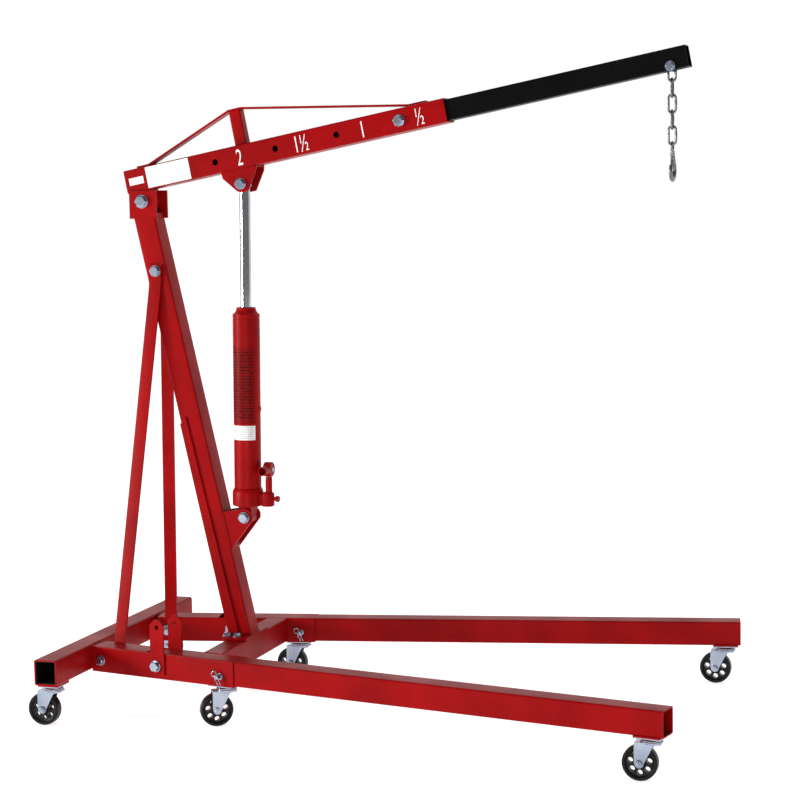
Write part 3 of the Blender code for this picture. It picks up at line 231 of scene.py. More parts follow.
def make_handled_group():
    """Marks of handling: broad cloudiness, fine scuffs and dust that gathers near the floor."""
    tree, inside, outside = new_group(
        "handled_surface",
        (("Scuffs", "NodeSocketFloat", 0.3), ("Dust", "NodeSocketFloat", 0.2)),
        (("Clouds", "NodeSocketFloat"), ("Scuffs", "NodeSocketFloat"), ("Dust", "NodeSocketFloat")),
    )
    nodes, links = tree.nodes, tree.links
    place = nodes.new("ShaderNodeTexCoord").outputs["Object"]
    links.new(noise(tree, place, 7.0, 4.0), outside.inputs["Clouds"])
    stretched = nodes.new("ShaderNodeMapping")
    stretched.inputs["Rotation"].default_value = (0.3, 0.5, 0.8)
    stretched.inputs["Scale"].default_value = (1.0, 9.0, 3.0)
    links.new(place, stretched.inputs["Vector"])
    fine = band(tree, noise(tree, stretched.outputs[0], 60.0, 6.0, 0.7), 0.60, 0.72)
    links.new(math_node(tree, "MULTIPLY", fine, inside.outputs["Scuffs"]), outside.inputs["Scuffs"])
    parts = nodes.new("ShaderNodeSeparateXYZ")
    links.new(place, parts.inputs[0])
    near_floor = band(tree, parts.outputs["Z"], 0.0, 0.30, 1.0, 0.15)
    specks = band(tree, noise(tree, place, 190.0, 5.0), 0.48, 0.70)
    dust = math_node(tree, "MULTIPLY", near_floor, specks)
    links.new(math_node(tree, "MULTIPLY", dust, inside.outputs["Dust"]), outside.inputs["Dust"])
    return tree


def make_peel_group():
    """Height of sprayed enamel: a fine orange peel over slow waves of the tube."""
    tree, inside, outside = new_group(
        "sprayed_peel",
        (("Fine", "NodeSocketFloat", 1.0), ("Slow", "NodeSocketFloat", 1.0)),
        (("Height", "NodeSocketFloat"),),
    )
    nodes, links = tree.nodes, tree.links
    place = nodes.new("ShaderNodeTexCoord").outputs["Object"]
    fine = math_node(tree, "MULTIPLY", noise(tree, place, 420.0, 2.0), inside.outputs["Fine"])
    slow = math_node(tree, "MULTIPLY", noise(tree, place, 24.0, 2.0), inside.outputs["Slow"])
    links.new(math_node(tree, "ADD", fine, slow), outside.inputs["Height"])
    return tree


def make_grain_group():
    """Drawn or rolled metal: a streaked noise with pits."""
    tree, inside, outside = new_group(
        "metal_grain",
        (("Scale", "NodeSocketFloat", 300.0), ("Stretch", "NodeSocketFloat", 8.0)),
        (("Grain", "NodeSocketFloat"), ("Pits", "NodeSocketFloat")),
    )
    nodes, links = tree.nodes, tree.links
    place = nodes.new("ShaderNodeTexCoord").outputs["Object"]
    joined = nodes.new("ShaderNodeCombineXYZ")
    joined.inputs["X"].default_value = 1.0
    joined.inputs["Y"].default_value = 1.0
    links.new(math_node(tree, "DIVIDE", 1.0, inside.outputs["Stretch"]), joined.inputs["Z"])
    scaled = nodes.new("ShaderNodeVectorMath")
    scaled.operation = "MULTIPLY"
    links.new(place, scaled.inputs[0])
    links.new(joined.outputs[0], scaled.inputs[1])
    grain = nodes.new("ShaderNodeTexNoise")
    grain.inputs["Detail"].default_value = 5.0
    links.new(scaled.outputs[0], grain.inputs["Vector"])
    links.new(inside.outputs["Scale"], grain.inputs["Scale"])
    links.new(grain.outputs["Fac"], outside.inputs["Grain"])
    pits = nodes.new("ShaderNodeTexVoronoi")
    pits.inputs["Scale"].default_value = 240.0
    links.new(place, pits.inputs["Vector"])
    links.new(band(tree, pits.outputs["Distance"], 0.05, 0.35), outside.inputs["Pits"])
    return tree


HANDLED = make_handled_group()
PEEL = make_peel_group()
GRAIN = make_grain_group()


def use_group(material, group, **values):
    node = material.node_tree.nodes.new("ShaderNodeGroup")
    node.node_tree = group
    for label, value in values.items():
        node.inputs[label].default_value = value
    return node


def new_material(name, **values):
    """A material with its Principled BSDF's constant sockets set."""
    material = bpy.data.materials.new(name)
    material.use_nodes = True
    shader = material.node_tree.nodes["Principled BSDF"]
    for label, value in values.items():
        shader.inputs[label.replace("_", " ")].default_value = value
    return material, shader


def add_bump(material, shader, height, strength, distance):
    bump = material.node_tree.nodes.new("ShaderNodeBump")
    bump.inputs["Strength"].default_value = strength
    bump.inputs["Distance"].default_value = distance
    material.node_tree.links.new(height, bump.inputs["Height"])
    material.node_tree.links.new(bump.outputs["Normal"], shader.inputs["Normal"])


def enamel(name, base, deep, dusty, roughness, coat, scuffs=0.35, dust=0.25, specular=0.3):
    """Sprayed enamel whose colour drifts between base and deep, scuffed and a little dusty."""
    material, shader = new_material(
        name, Metallic=0.0, Coat_Weight=coat, Coat_Roughness=0.08, Specular_IOR_Level=specular
    )
    tree = material.node_tree
    links = tree.links
    handled = use_group(material, HANDLED, Scuffs=scuffs, Dust=dust)
    drift = band(tree, handled.outputs["Clouds"], 0.35, 0.65)
    colour = mix_colour(tree, drift, base, deep)
    worn = tuple(channel * 0.80 + 0.012 for channel in base)
    colour = mix_colour(tree, handled.outputs["Scuffs"], colour, worn)
    colour = mix_colour(tree, handled.outputs["Dust"], colour, dusty)
    links.new(colour, shader.inputs["Base Color"])
    rough = band(tree, handled.outputs["Clouds"], 0.3, 0.7, roughness - 0.05, roughness + 0.08)
    rough = math_node(tree, "ADD", rough, math_node(tree, "MULTIPLY", handled.outputs["Scuffs"], 0.5))
    links.new(rough, shader.inputs["Roughness"])
    peel = use_group(material, PEEL, Fine=1.0, Slow=2.5)
    add_bump(material, shader, peel.outputs["Height"], 0.35, 0.0005)
    return material


def bare_metal(name, base, tint, roughness, stretch, grain_strength, dust=0.15):
    """Plated, drawn or polished metal with grain in its colour, gloss and surface."""
    material, shader = new_material(name, Metallic=1.0)
    tree = material.node_tree
    links = tree.links
    grain = use_group(material, GRAIN, Scale=300.0, Stretch=stretch)
    handled = use_group(material, HANDLED, Scuffs=0.5, Dust=dust)
    colour = mix_colour(tree, band(tree, handled.outputs["Clouds"], 0.35, 0.65), base, tint)
    dark = tuple(channel * 0.45 for channel in base)
    colour = mix_colour(tree, handled.outputs["Dust"], colour, dark)
    links.new(colour, shader.inputs["Base Color"])
    rough = band(tree, grain.outputs["Grain"], 0.35, 0.65, roughness * 0.75, roughness * 1.3)
    links.new(rough, shader.inputs["Roughness"])
    add_bump(material, shader, grain.outputs["Grain"], grain_strength, 0.0002)
    return material


def moulded(name, base, roughness, scale=600.0, specular=0.5):
    """Moulded plastic or rubber with a fine even texture."""
    material, shader = new_material(name, Metallic=0.0, Specular_IOR_Level=specular)
    tree = material.node_tree
    nodes, links = tree.nodes, tree.links
    handled = use_group(material, HANDLED, Scuffs=0.3, Dust=0.10)
    lighter = tuple(channel * 1.8 + 0.006 for channel in base)
    colour = mix_colour(tree, handled.outputs["Scuffs"], base, lighter)
    colour = mix_colour(tree, handled.outputs["Dust"], colour, (0.13, 0.12, 0.11))
    links.new(colour, shader.inputs["Base Color"])
    rough = band(tree, handled.outputs["Clouds"], 0.3, 0.7, roughness - 0.08, roughness + 0.10)
    links.new(rough, shader.inputs["Roughness"])
    place = nodes.new("ShaderNodeTexCoord").outputs["Object"]
    add_bump(material, shader, noise(tree, place, scale, 3.0), 0.3, 0.0003)
    return material


def printed(name, base, ink, rows, share, coat=0.2, specular=0.5):
    """A label: plain stock with faint ruled lines across its height, read from its own UV map."""
    material, shader = new_material(name, Metallic=0.0, Coat_Weight=coat, Specular_IOR_Level=specular)
    tree = material.node_tree
    nodes, links = tree.nodes, tree.links
    uv = nodes.new("ShaderNodeUVMap").outputs["UV"]
    parts = nodes.new("ShaderNodeSeparateXYZ")
    links.new(uv, parts.inputs[0])
    wave = math_node(tree, "FRACT", math_node(tree, "MULTIPLY", parts.outputs["Y"], rows), 0.0)
    line = math_node(tree, "LESS_THAN", wave, share)
    blocks = noise(tree, uv, 22.0, 1.0)
    mask = math_node(tree, "MULTIPLY", line, band(tree, blocks, 0.42, 0.50))
    for axis, margin in (("X", 0.42), ("Y", 0.44)):
        off = math_node(tree, "ABSOLUTE", math_node(tree, "SUBTRACT", parts.outputs[axis], 0.5), 0.0)
        mask = math_node(tree, "MULTIPLY", mask, math_node(tree, "LESS_THAN", off, margin))
    handled = use_group(material, HANDLED, Scuffs=0.25, Dust=0.15)
    colour = mix_colour(tree, mask, base, ink)
    colour = mix_colour(tree, handled.outputs["Scuffs"], colour, tuple(c * 0.8 for c in base))
    links.new(colour, shader.inputs["Base Color"])
    links.new(band(tree, handled.outputs["Clouds"], 0.3, 0.7, 0.32, 0.46), shader.inputs["Roughness"])
    return material


FINISHES = {
    "red": enamel(
        "red_enamel", (0.33, 0.0025, 0.0035), (0.24, 0.0015, 0.0025), (0.16, 0.020, 0.016), 0.34, 0.0,
        scuffs=0.16, dust=0.12, specular=0.06,
    ),
    "red_label": printed(
        "red_label_print", (0.20, 0.002, 0.003), (0.03, 0.002, 0.002), 26.0, 0.45, coat=0.0, specular=0.06,
    ),
    "black": enamel(
        "black_enamel", (0.0012, 0.0012, 0.0014), (0.0022, 0.0022, 0.0025), (0.012, 0.012, 0.012), 0.40, 0.0,
        scuffs=0.1, dust=0.1, specular=0.06,
    ),
    # painted shade: the bare steel inside the open tube ends is made near black, far darker than steel, to
    # stand in for the shade deep in the tube
    "bare_steel_and_shade": bare_metal("tube_inside_steel_and_shade", (0.05, 0.045, 0.042), (0.03, 0.028, 0.026), 0.55, 6.0, 0.30),
    "zinc": bare_metal("zinc_plating", (0.42, 0.47, 0.56), (0.26, 0.30, 0.38), 0.24, 1.0, 0.10),
    "chrome": bare_metal("hard_chrome", (0.62, 0.63, 0.65), (0.52, 0.53, 0.56), 0.09, 40.0, 0.03, 0.0),
    "chain": bare_metal("chain_steel", (0.22, 0.22, 0.23), (0.13, 0.13, 0.14), 0.30, 2.0, 0.20),
    "wheel": moulded("wheel_plastic", (0.003, 0.003, 0.0035), 0.36, specular=0.2),
    "seal": moulded("seal_rubber", (0.012, 0.012, 0.012), 0.6, scale=900.0),
    "white": printed("white_stock", (0.80, 0.80, 0.79), (0.80, 0.80, 0.79), 1.0, 0.0),
    "notice": printed("ruled_notice", (0.78, 0.78, 0.77), (0.35, 0.35, 0.36), 8.0, 0.35),
    "mark": printed("white_marking", (0.80, 0.79, 0.78), (0.80, 0.79, 0.78), 1.0, 0.0),
}
FINISH_OF_SLOT = {
    "red_paint": "red", "black_paint": "black", "chrome": "chrome", "zinc_plate": "zinc",
    "chain_steel": "chain", "wheel_plastic": "wheel",
}


# ---------------------------------------------------------------- surfaces

def grid_quads(rows, columns, close_rows, close_columns):
    """Quads between neighbouring points of a grid, joined round in each direction that closes."""
    row, column = np.meshgrid(
        np.arange(rows if close_rows else rows - 1),
        np.arange(columns if close_columns else columns - 1), indexing="ij",
    )
    next_row = (row + 1) % rows
    next_column = (column + 1) % columns
    quads = (row * columns + column, row * columns + next_column,
             next_row * columns + next_column, next_row * columns + column)
    return np.stack(quads, axis=-1).reshape(-1, 4)


def frame_across(along):
    """Two unit vectors square to a direction."""
    along = along / np.linalg.norm(along)
    helper = X if abs(along[0]) < 0.8 else Z
    first = np.cross(helper, along)
    first = first / np.linalg.norm(first)
    return first, np.cross(along, first)


def turned(start, along, profile, sides=64, closed=False, shape=None):
    """A profile of (distance, radius) carried round an axis.

    Point = start + along * distance + radius * (first * cos a + second * sin a). With shape, the
    radius of a row is the smaller of its own and that of a hexagon of that corner radius.
    """
    profile = np.array(profile, dtype=float)
    angle = np.linspace(0, 2 * np.pi, sides, endpoint=False)
    first, second = frame_across(along)
    radius = np.repeat(profile[:, 1:2], sides, axis=1)
    if shape is not None:
        corner = np.array(shape, dtype=float)[:, None]
        hexagon = corner * math.cos(math.pi / 6) / np.cos((angle + np.pi / 6) % (np.pi / 3) - np.pi / 6)
        radius = np.where(corner > 0, np.minimum(radius, hexagon), radius)
    ring = first * np.cos(angle)[:, None] + second * np.sin(angle)[:, None]
    points = start + along * profile[:, None, 0:1] + ring[None] * radius[:, :, None]
    return points, closed, not closed


def swept(path, across, binormal, width, depth, sides=16, closed=False):
    """An oval section carried along a path.

    Point = path + across * width * cos a + binormal * depth * sin a, with a going round the section.
    """
    angle = np.linspace(0, 2 * np.pi, sides, endpoint=False)
    points = (path[:, None] + across[:, None] * (width[:, None] * np.cos(angle))[:, :, None]
              + binormal[:, None] * (depth[:, None] * np.sin(angle))[:, :, None])
    return points, closed, not closed


def slab(corner, along, across, depth):
    """A thin block: the parallelogram corner + along + across, carried along depth."""
    ring = np.array([corner, corner + along, corner + along + across, corner + across])
    return np.array([ring, ring + depth]), False, True


def build(name, shapes, finish, body, nodes=(), crease=38.0):
    """One object from closed surfaces: it rides on a body and may stand for CAD nodes."""
    vertices = []
    faces = []
    count = 0
    for points, close_rows, caps in shapes:
        rows, columns = points.shape[:2]
        vertices.append(points.reshape(-1, 3))
        faces += (grid_quads(rows, columns, close_rows, True) + count).tolist()
        if caps:
            faces.append((np.arange(columns) + count).tolist())
            faces.append((np.arange(columns) + count + (rows - 1) * columns).tolist())
        count += rows * columns
    mesh = closed_mesh(name, np.concatenate(vertices), faces)
    return place(name, mesh, finish, body, nodes, crease)


def closed_mesh(name, points, faces):
    mesh = bpy.data.meshes.new(name)
    mesh.from_pydata(points.reshape(-1, 3).tolist(), [], faces)
    turn_out(mesh)
    return mesh


def turn_out(mesh):
    """Turns the faces of closed shapes outwards."""
    shape = bmesh.new()
    shape.from_mesh(mesh)
    bmesh.ops.recalc_face_normals(shape, faces=shape.faces)
    shape.to_mesh(mesh)
    shape.free()


def place(name, mesh, finish, body, nodes=(), crease=38.0):
    item = linked(name, mesh)
    mesh.materials.clear()
    mesh.materials.append(FINISHES[finish])
    mesh.shade_smooth()
    mesh.set_sharp_from_angle(angle=math.radians(crease))
    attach(item, body)
    if nodes:
        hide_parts(*nodes)
    return item


def softened(node, width, crease=50.0):
    """The CAD node's own shape with its edges rounded by a small bevel."""
    mesh = frame["nodes"][node].data.copy()
    shape = bmesh.new()
    shape.from_mesh(mesh)
    bmesh.ops.remove_doubles(shape, verts=shape.verts, dist=0.00002)
    bmesh.ops.dissolve_limit(
        shape, angle_limit=math.radians(0.4), verts=shape.verts, edges=shape.edges
    )
    shape.to_mesh(mesh)
    shape.free()
    finish = FINISH_OF_SLOT[SLOT_OF[node]]
    item = place(f"{node}_finished", mesh, finish, BODY_OF[node], (node,), crease)
    bevel = item.modifiers.new("edges", "BEVEL")
    bevel.width = width
    bevel.segments = 2
    bevel.limit_method = "ANGLE"
    bevel.angle_limit = math.radians(crease)
    item.modifiers.new("normals", "WEIGHTED_NORMAL").keep_sharp = True
    return item


# ---------------------------------------------------------------- fasteners

def hexagon_bolt(name, face, along, grip, size, body, node, nut=True):
    """A bolt through a clamped grip: domed hexagon head, two washers, nut and threaded end."""
    shank, corner, washer = size
    thick = WASHER_THICKNESS
    head = corner * 0.70
    rows = [
        (-thick - head, corner * 0.55, 0), (-thick - head, corner * 0.80, corner),
        (-thick - head * 0.86, corner, corner), (-thick - head * 0.10, corner, corner),
        (-thick, corner * 0.92, 0), (-thick, washer * 0.96, 0), (-thick * 0.8, washer, 0),
        (-0.0003, washer, 0), (-0.0002, shank, 0), (grip + 0.0002, shank, 0),
    ]
    if nut:
        rows += [
            (grip + 0.0003, washer, 0), (grip + thick * 0.8, washer, 0), (grip + thick, washer * 0.96, 0),
            (grip + thick, corner * 0.92, 0), (grip + thick + head * 0.08, corner, corner),
            (grip + thick + head * 0.80, corner, corner), (grip + thick + head * 0.95, corner * 0.84, corner),
            (grip + thick + head * 0.95, shank, 0),
        ]
        start = grip + thick + head * 0.95
        for turn in range(4):
            root = start + 0.0004 + turn * THREAD_PITCH
            rows += [(root, shank * 0.90, 0), (root + 0.0005, shank, 0)]
        rows[-1] = (start + 0.0040, shank * 0.80, 0)
    profile = [(distance, radius) for distance, radius, _ in rows]
    shape = turned(face, along, profile, 48, shape=[corner_radius for _, _, corner_radius in rows])
    return build(name, [shape], "zinc", body, (node,) if node else (), 30.0)


def cap_nut(name, face, along, body):
    """The far nut of a bolt whose middle is hidden: washer, nut and threaded end."""
    shank, _, washer = BOLT_16
    corner = CAP_NUT_CORNER
    thick = WASHER_THICKNESS
    head = corner * 0.66
    rows = [
        (0.0003, shank, 0), (0.0003, washer, 0), (thick * 0.8, washer, 0), (thick, washer * 0.96, 0),
        (thick, corner * 0.92, 0), (thick + head * 0.08, corner, corner),
        (thick + head * 0.85, corner, corner), (thick + head, corner * 0.84, corner),
        (thick + head, shank, 0), (thick + head + 0.003, shank, 0), (thick + head + 0.004, shank * 0.8, 0),
    ]
    profile = [(distance, radius) for distance, radius, _ in rows]
    shape = turned(face, along, profile, 48, shape=[corner_radius for _, _, corner_radius in rows])
    return build(name, [shape], "zinc", body, (), 30.0)


def sleeve_frame(side):
    """Directions along a splayed sleeve and out of its outer face, from the leg's hinge axis."""
    name = "near" if side < 0 else "far"
    axis = joint_axis(f"leg_fold_{name}")
    out = axis * (1 if side * axis[1] > 0 else -1)
    along = np.cross(Z, out) * (-side)
    along = along if along[0] > 0 else -along
    return along, out


def on_sleeve(side, reach, out, z):
    """A point from its reach along a sleeve, its distance outside the outer face, and its height."""
    name = "near" if side < 0 else "far"
    along, outward = sleeve_frame(side)
    pivot = joint_point(f"leg_fold_{name}")
    point = pivot + along * (reach - LEG_PIVOT_REACH) + outward * (SLEEVE_WIDTH / 2 + out)
    point[2] = z
    return point


def wire_clip(name, centre, lengthwise, sideways, body):
    """A spring clip of round wire: a straight leg through the pin, a loop, and a leg humped over the
    pin. Point = centre + lengthwise * u + sideways * v, lifted a little where the loop crosses itself."""
    out = np.cross(lengthwise, sideways)
    leg = np.linspace(-0.024, 0.012, 16)
    turn = np.linspace(-np.pi / 2, 1.25 * np.pi, 30)[1:]
    back = np.linspace(0.004, -0.020, 18)
    loop = 0.0068
    u = np.concatenate([leg, 0.012 + loop * np.cos(turn), back])
    hump = 0.0050 + 0.0032 * np.exp(-((back + 0.004) / 0.005) ** 2) + 0.10 * np.clip(-back - 0.012, 0, 1)
    v = np.concatenate([np.zeros(16), loop + loop * np.sin(turn), hump])
    lift = np.concatenate([np.zeros(16), np.linspace(0, 0.0034, 29), np.full(18, 0.0034)])
    path = centre + lengthwise * u[:, None] + sideways * v[:, None] + out * lift[:, None]
    tangent = np.gradient(path, axis=0)
    tangent /= np.linalg.norm(tangent, axis=1)[:, None]
    side = np.cross(tangent, out)
    side /= np.linalg.norm(side, axis=1)[:, None]
    other = np.cross(tangent, side)
    width = np.full(len(path), 0.0015)
    return build(name, [swept(path, side, other, width, width, 10)], "zinc", body)


def make_bolts():
    def through(name, centre, half, size, body, node):
        hexagon_bolt(name, centre - Y * half, Y, half * 2, size, body, node)

    through("boom_pivot_hexagon", PIVOT, HEAD_HALF, BOLT_20, "frame", "boom_pivot_bolt")
    through("brace_top_hexagon", middle("brace_top_bolt"), HEAD_HALF, BOLT_16, "frame", "brace_top_bolt")
    through("ram_lower_hexagon", RAM_PIN, RAM_CHEEK_HALF, BOLT_16, "frame", "ram_lower_bolt")
    upper = middle("ram_upper_bolt") * (X + Z)
    hexagon_bolt("ram_upper_hexagon", upper - Y * RAM_CHEEK_HALF, Y, 0.0055, BOLT_16, "boom",
                 "ram_upper_bolt", nut=False)
    cap_nut("ram_upper_nut", upper + Y * RAM_CHEEK_HALF, Y, "boom")
    lock = middle("extension_bolt") * (X + Z)
    hexagon_bolt("lock_hexagon", lock - Y * BOOM_HALF, Y, 0.0028, BOLT_16, "boom", "extension_bolt",
                 nut=False)
    cap_nut("lock_nut", lock + Y * BOOM_HALF, Y, "boom")
    through("hook_hexagon", HOOK_BOLT, EXTENSION_HALF, BOLT_12, "extension", "hook_bolt")
    for name, side in SIDES:
        along, out = sleeve_frame(side)
        pivot_z = joint_point(f"leg_fold_{name}")[2]
        grip = SLEEVE_WIDTH + 2 * STRAP
        hexagon_bolt(f"leg_pivot_hexagon_{name}", on_sleeve(side, LEG_PIVOT_REACH, STRAP, pivot_z), -out,
                     grip, BOLT_16, "frame", f"leg_pivot_bolt_{name}")
        hexagon_bolt(f"brace_foot_hexagon_{name}", on_sleeve(side, 0.030, 0.0, 0.145), -out,
                     SLEEVE_WIDTH + 0.0065, BOLT_14, "frame", f"brace_bolt_{name}")
        pin = on_sleeve(side, LOCK_PIN_REACH, 0.0, LOCK_PIN_Z)
        shown = 1 if side < 0 else -1
        inner_face = pin - out * SLEEVE_WIDTH
        near_face, far_face = (pin, inner_face) if shown > 0 else (inner_face, pin)
        point_end = [(0.0003, 0.0050), (0.0003, 0.0090), (0.0018, 0.0090), (0.0018, 0.0056),
                     (0.0170, 0.0056), (0.0190, 0.0040)]
        head_end = [(0.0003, 0.0050), (0.0003, 0.0100), (0.0045, 0.0100), (0.0060, 0.0085)]
        shapes = [turned(near_face, out * shown, point_end, 40), turned(far_face, -out * shown, head_end, 40)]
        build(f"lock_pin_ends_{name}", shapes, "zinc", "frame", (f"lock_pin_{name}",))
        lengthwise = Z * 0.92 - along * 0.39
        sideways = np.cross(out * shown, lengthwise)
        wire_clip(f"pin_clip_{name}", near_face + out * shown * 0.0125, lengthwise, sideways, "frame")
    plate = middle("base_plate")
    plate_top = high("base_plate")[2]
    for index, (dx, dy) in enumerate(((-0.029, -0.055), (-0.001, -0.055), (-0.029, 0.055), (-0.001, 0.055))):
        point = np.array([plate[0] + dx, dy, plate_top])
        hexagon_bolt(f"plate_bolt_{index + 1}", point, -Z, 0.0002, PLATE_BOLT, "frame", None, nut=False)


# ---------------------------------------------------------------- ram

def make_ram():
    shoulder = [
        (BARREL_SHOULDER + 0.018 * (1 - math.cos(a)), BARREL_RADIUS - 0.011 * math.sin(a) ** 1.4)
        for a in np.linspace(0.0, math.pi / 2, 9)
    ]
    gland = ROD_RADIUS + 0.0004
    profile = (
        [(BARREL_BOTTOM, BARREL_RADIUS - 0.001), (BARREL_BOTTOM + 0.001, BARREL_RADIUS),
         (0.5500, BARREL_RADIUS), (0.5506, BARREL_RADIUS - 0.0006), (0.5518, BARREL_RADIUS - 0.0006),
         (0.5524, BARREL_RADIUS)] + shoulder
        + [(BARREL_TOP, 0.0245), (BARREL_TOP, 0.0195), (BARREL_TOP - 0.002, 0.0190),
           (BARREL_TOP - 0.002, gland), (0.110, gland)]
    )
    build("ram_barrel_shell", [turned(RAM_PIN, RAM_ALONG, profile, 96)], "red", "ram",
          ("ram_cylinder",), 32.0)
    wiper = [(BARREL_TOP - 0.0019, gland), (BARREL_TOP - 0.0019, 0.0188), (BARREL_TOP + 0.0006, 0.0184),
             (BARREL_TOP + 0.0014, 0.0172), (BARREL_TOP + 0.0008, gland)]
    build("rod_wiper", [turned(RAM_PIN, RAM_ALONG, wiper, 64, closed=True)], "seal", "ram")
    top = middle("ram_upper_bolt") * (X + Z)
    length = float(np.linalg.norm(top - RAM_PIN))
    rod = [(0.262, ROD_RADIUS), (length - 0.034, ROD_RADIUS), (length - 0.030, ROD_RADIUS * 0.96),
           (length - 0.012, ROD_RADIUS * 0.96)]
    head = 0.0245
    eye = [(-head, 0.0086), (-head, EYE_RADIUS - 0.0012), (-head + 0.0012, EYE_RADIUS),
           (head - 0.0012, EYE_RADIUS), (head, EYE_RADIUS - 0.0012), (head, 0.0086)]
    build("ram_rod_polished", [turned(RAM_PIN, RAM_ALONG, rod, 72), turned(top, Y, eye, 56, closed=True)],
          "chrome", "ram_rod", ("ram_rod",))
    foot = [(0.030, 0.036), (0.0315, 0.0410), (0.034, FOOT_RADIUS), (0.0700, FOOT_RADIUS),
            (0.0745, 0.0415), (0.0775, 0.0395), (0.0800, 0.0385)]
    eye = [(-EYE_HALF, 0.0086), (-EYE_HALF, EYE_RADIUS - 0.0015), (-EYE_HALF + 0.0015, EYE_RADIUS),
           (EYE_HALF - 0.0015, EYE_RADIUS), (EYE_HALF, EYE_RADIUS - 0.0015), (EYE_HALF, 0.0086)]
    neck = slab(on_ram(0.0, -0.0184, -0.0235), RAM_FORWARD * 0.0368, Y * 0.047, RAM_ALONG * 0.034)
    arm = slab(on_ram(0.0345, 0.020, -0.0165), RAM_FORWARD * 0.040, Y * 0.033, RAM_ALONG * 0.031)
    pump_x = 0.0585
    pump = [(0.031, 0.0160), (0.0325, 0.0185), (0.0345, 0.0190), (0.0640, 0.0190), (0.0665, 0.0182),
            (0.0690, 0.0160), (0.0690, 0.0105), (0.0500, 0.0102)]
    shapes = [
        turned(RAM_PIN, RAM_ALONG, foot, 80), turned(RAM_PIN, Y, eye, 56, closed=True), neck, arm,
        turned(on_ram(0.0, pump_x), RAM_ALONG, pump, 56),
    ]
    build("ram_foot_casting", shapes, "red", "ram", ("ram_base",), 32.0)
    plunger_low = on_ram(0.055, 0.0625)
    plunger = [(0.0, 0.0094), (0.0180, 0.0094), (0.0184, 0.0088), (0.0200, 0.0088), (0.0204, 0.0094),
               (0.0500, 0.0094), (0.0560, 0.0090), (0.0574, 0.0080)]
    build("pump_plunger_rod", [turned(plunger_low, RAM_ALONG, plunger, 48)], "red", "pump_plunger",
          ("pump_plunger",))
    knuckle = [(-0.011, 0.0090), (-0.011, 0.0188), (-0.0094, 0.0206), (0.0094, 0.0206), (0.011, 0.0188),
               (0.011, 0.0090)]
    mouth = KNUCKLE - Y * 0.050
    socket = [(0.0, 0.0096), (0.0, 0.0118), (0.0008, 0.0125), (0.0480, 0.0125), (0.0500, 0.0110),
              (0.0500, 0.0020), (0.0420, 0.0020), (0.0420, 0.0096)]
    shapes = [turned(KNUCKLE, RAM_FORWARD, knuckle, 56), turned(mouth, Y, socket, 56, closed=True)]
    build("pump_handle_socket", shapes, "red", "handle_socket", ("handle_socket",))
    pin = [(-0.0135, 0.0030), (-0.0135, 0.0052), (-0.0125, 0.0060), (-0.0112, 0.0062), (-0.0112, 0.0040),
           (0.0112, 0.0040), (0.0112, 0.0062), (0.0125, 0.0060), (0.0135, 0.0052), (0.0135, 0.0030)]
    build("knuckle_pin", [turned(KNUCKLE, RAM_FORWARD, pin, 40)], "zinc", "handle_socket")
    valve = [(0.0, 0.0050), (0.0050, 0.0050), (0.0054, 0.0078), (0.0066, 0.0085), (0.0136, 0.0085),
             (0.0148, 0.0076), (0.0148, 0.0060)]
    build("release_valve_knob", [turned(VALVE, RAM_FORWARD, valve, 48)], "red", "release_valve",
          ("release_valve",))
    plug = [(0.0, 0.0075), (0.0022, 0.0075), (0.0030, 0.0068), (0.0030, 0.0040)]
    build("filler_plug", [turned(on_ram(0.302, BARREL_RADIUS - 0.0006), RAM_FORWARD, plug, 32)], "red",
          "ram")


def wrapped_label(name, finish, bottom, height, turn, spread, lift=0.00035):
    """A label bent round the barrel: a grid of angle and height, one sheet thick, with its own UV map."""
    rows, columns = 24, 40
    u = np.linspace(0, 1, columns)
    v = np.linspace(0, 1, rows)
    angle = math.radians(turn) + (u - 0.5) * math.radians(spread)
    ring = RAM_FORWARD * np.sin(angle)[:, None] - Y * np.cos(angle)[:, None]
    sheets = []
    for radius in (BARREL_RADIUS + lift, BARREL_RADIUS + 0.00005):
        sheets.append(on_ram(bottom) + RAM_ALONG * (v * height)[:, None, None] + ring[None] * radius)
    top = sheets[0].reshape(-1, 3)
    under = sheets[1].reshape(-1, 3)
    quads = grid_quads(rows, columns, False, False)
    count = rows * columns
    edge = np.concatenate([
        np.arange(columns), np.arange(1, rows) * columns + columns - 1,
        (rows - 1) * columns + np.arange(columns - 2, -1, -1), np.arange(rows - 2, 0, -1) * columns,
    ])
    after = np.roll(edge, -1)
    rim = np.stack([edge, after, after + count, edge + count], axis=-1)
    faces = quads.tolist() + (quads + count).tolist() + rim.tolist()
    mesh = closed_mesh(name, np.concatenate([top, under]), faces)
    grid_u, grid_v = np.meshgrid(u, v)
    uv = np.tile(np.stack([grid_u.ravel(), grid_v.ravel()], axis=-1), (2, 1))
    write_uv(mesh, uv)
    return place(name, mesh, finish, "ram")


def write_uv(mesh, uv_of_vertex):
    layer = mesh.uv_layers.new(name="UVMap")
    index = np.zeros(len(mesh.loops), dtype=np.int32)
    mesh.loops.foreach_get("vertex_index", index)
    layer.data.foreach_set("uv", uv_of_vertex[index].astype(np.float32).ravel())


def flat_label(name, finish, corner, along, across):
    """A flat sheet on a face: four corners, lifted a little, closed behind."""
    out = np.cross(along, across)
    out = out / np.linalg.norm(out) * SKIN
    points, _, _ = slab(corner + out * 0.05, along, across, out)
    faces = grid_quads(2, 4, False, True).tolist() + [[0, 1, 2, 3], [4, 5, 6, 7]]
    mesh = closed_mesh(name, points, faces)
    write_uv(mesh, np.tile(np.array([(0, 0), (1, 0), (1, 1), (0, 1)], dtype=float), (2, 1)))
    return place(name, mesh, finish, "boom")


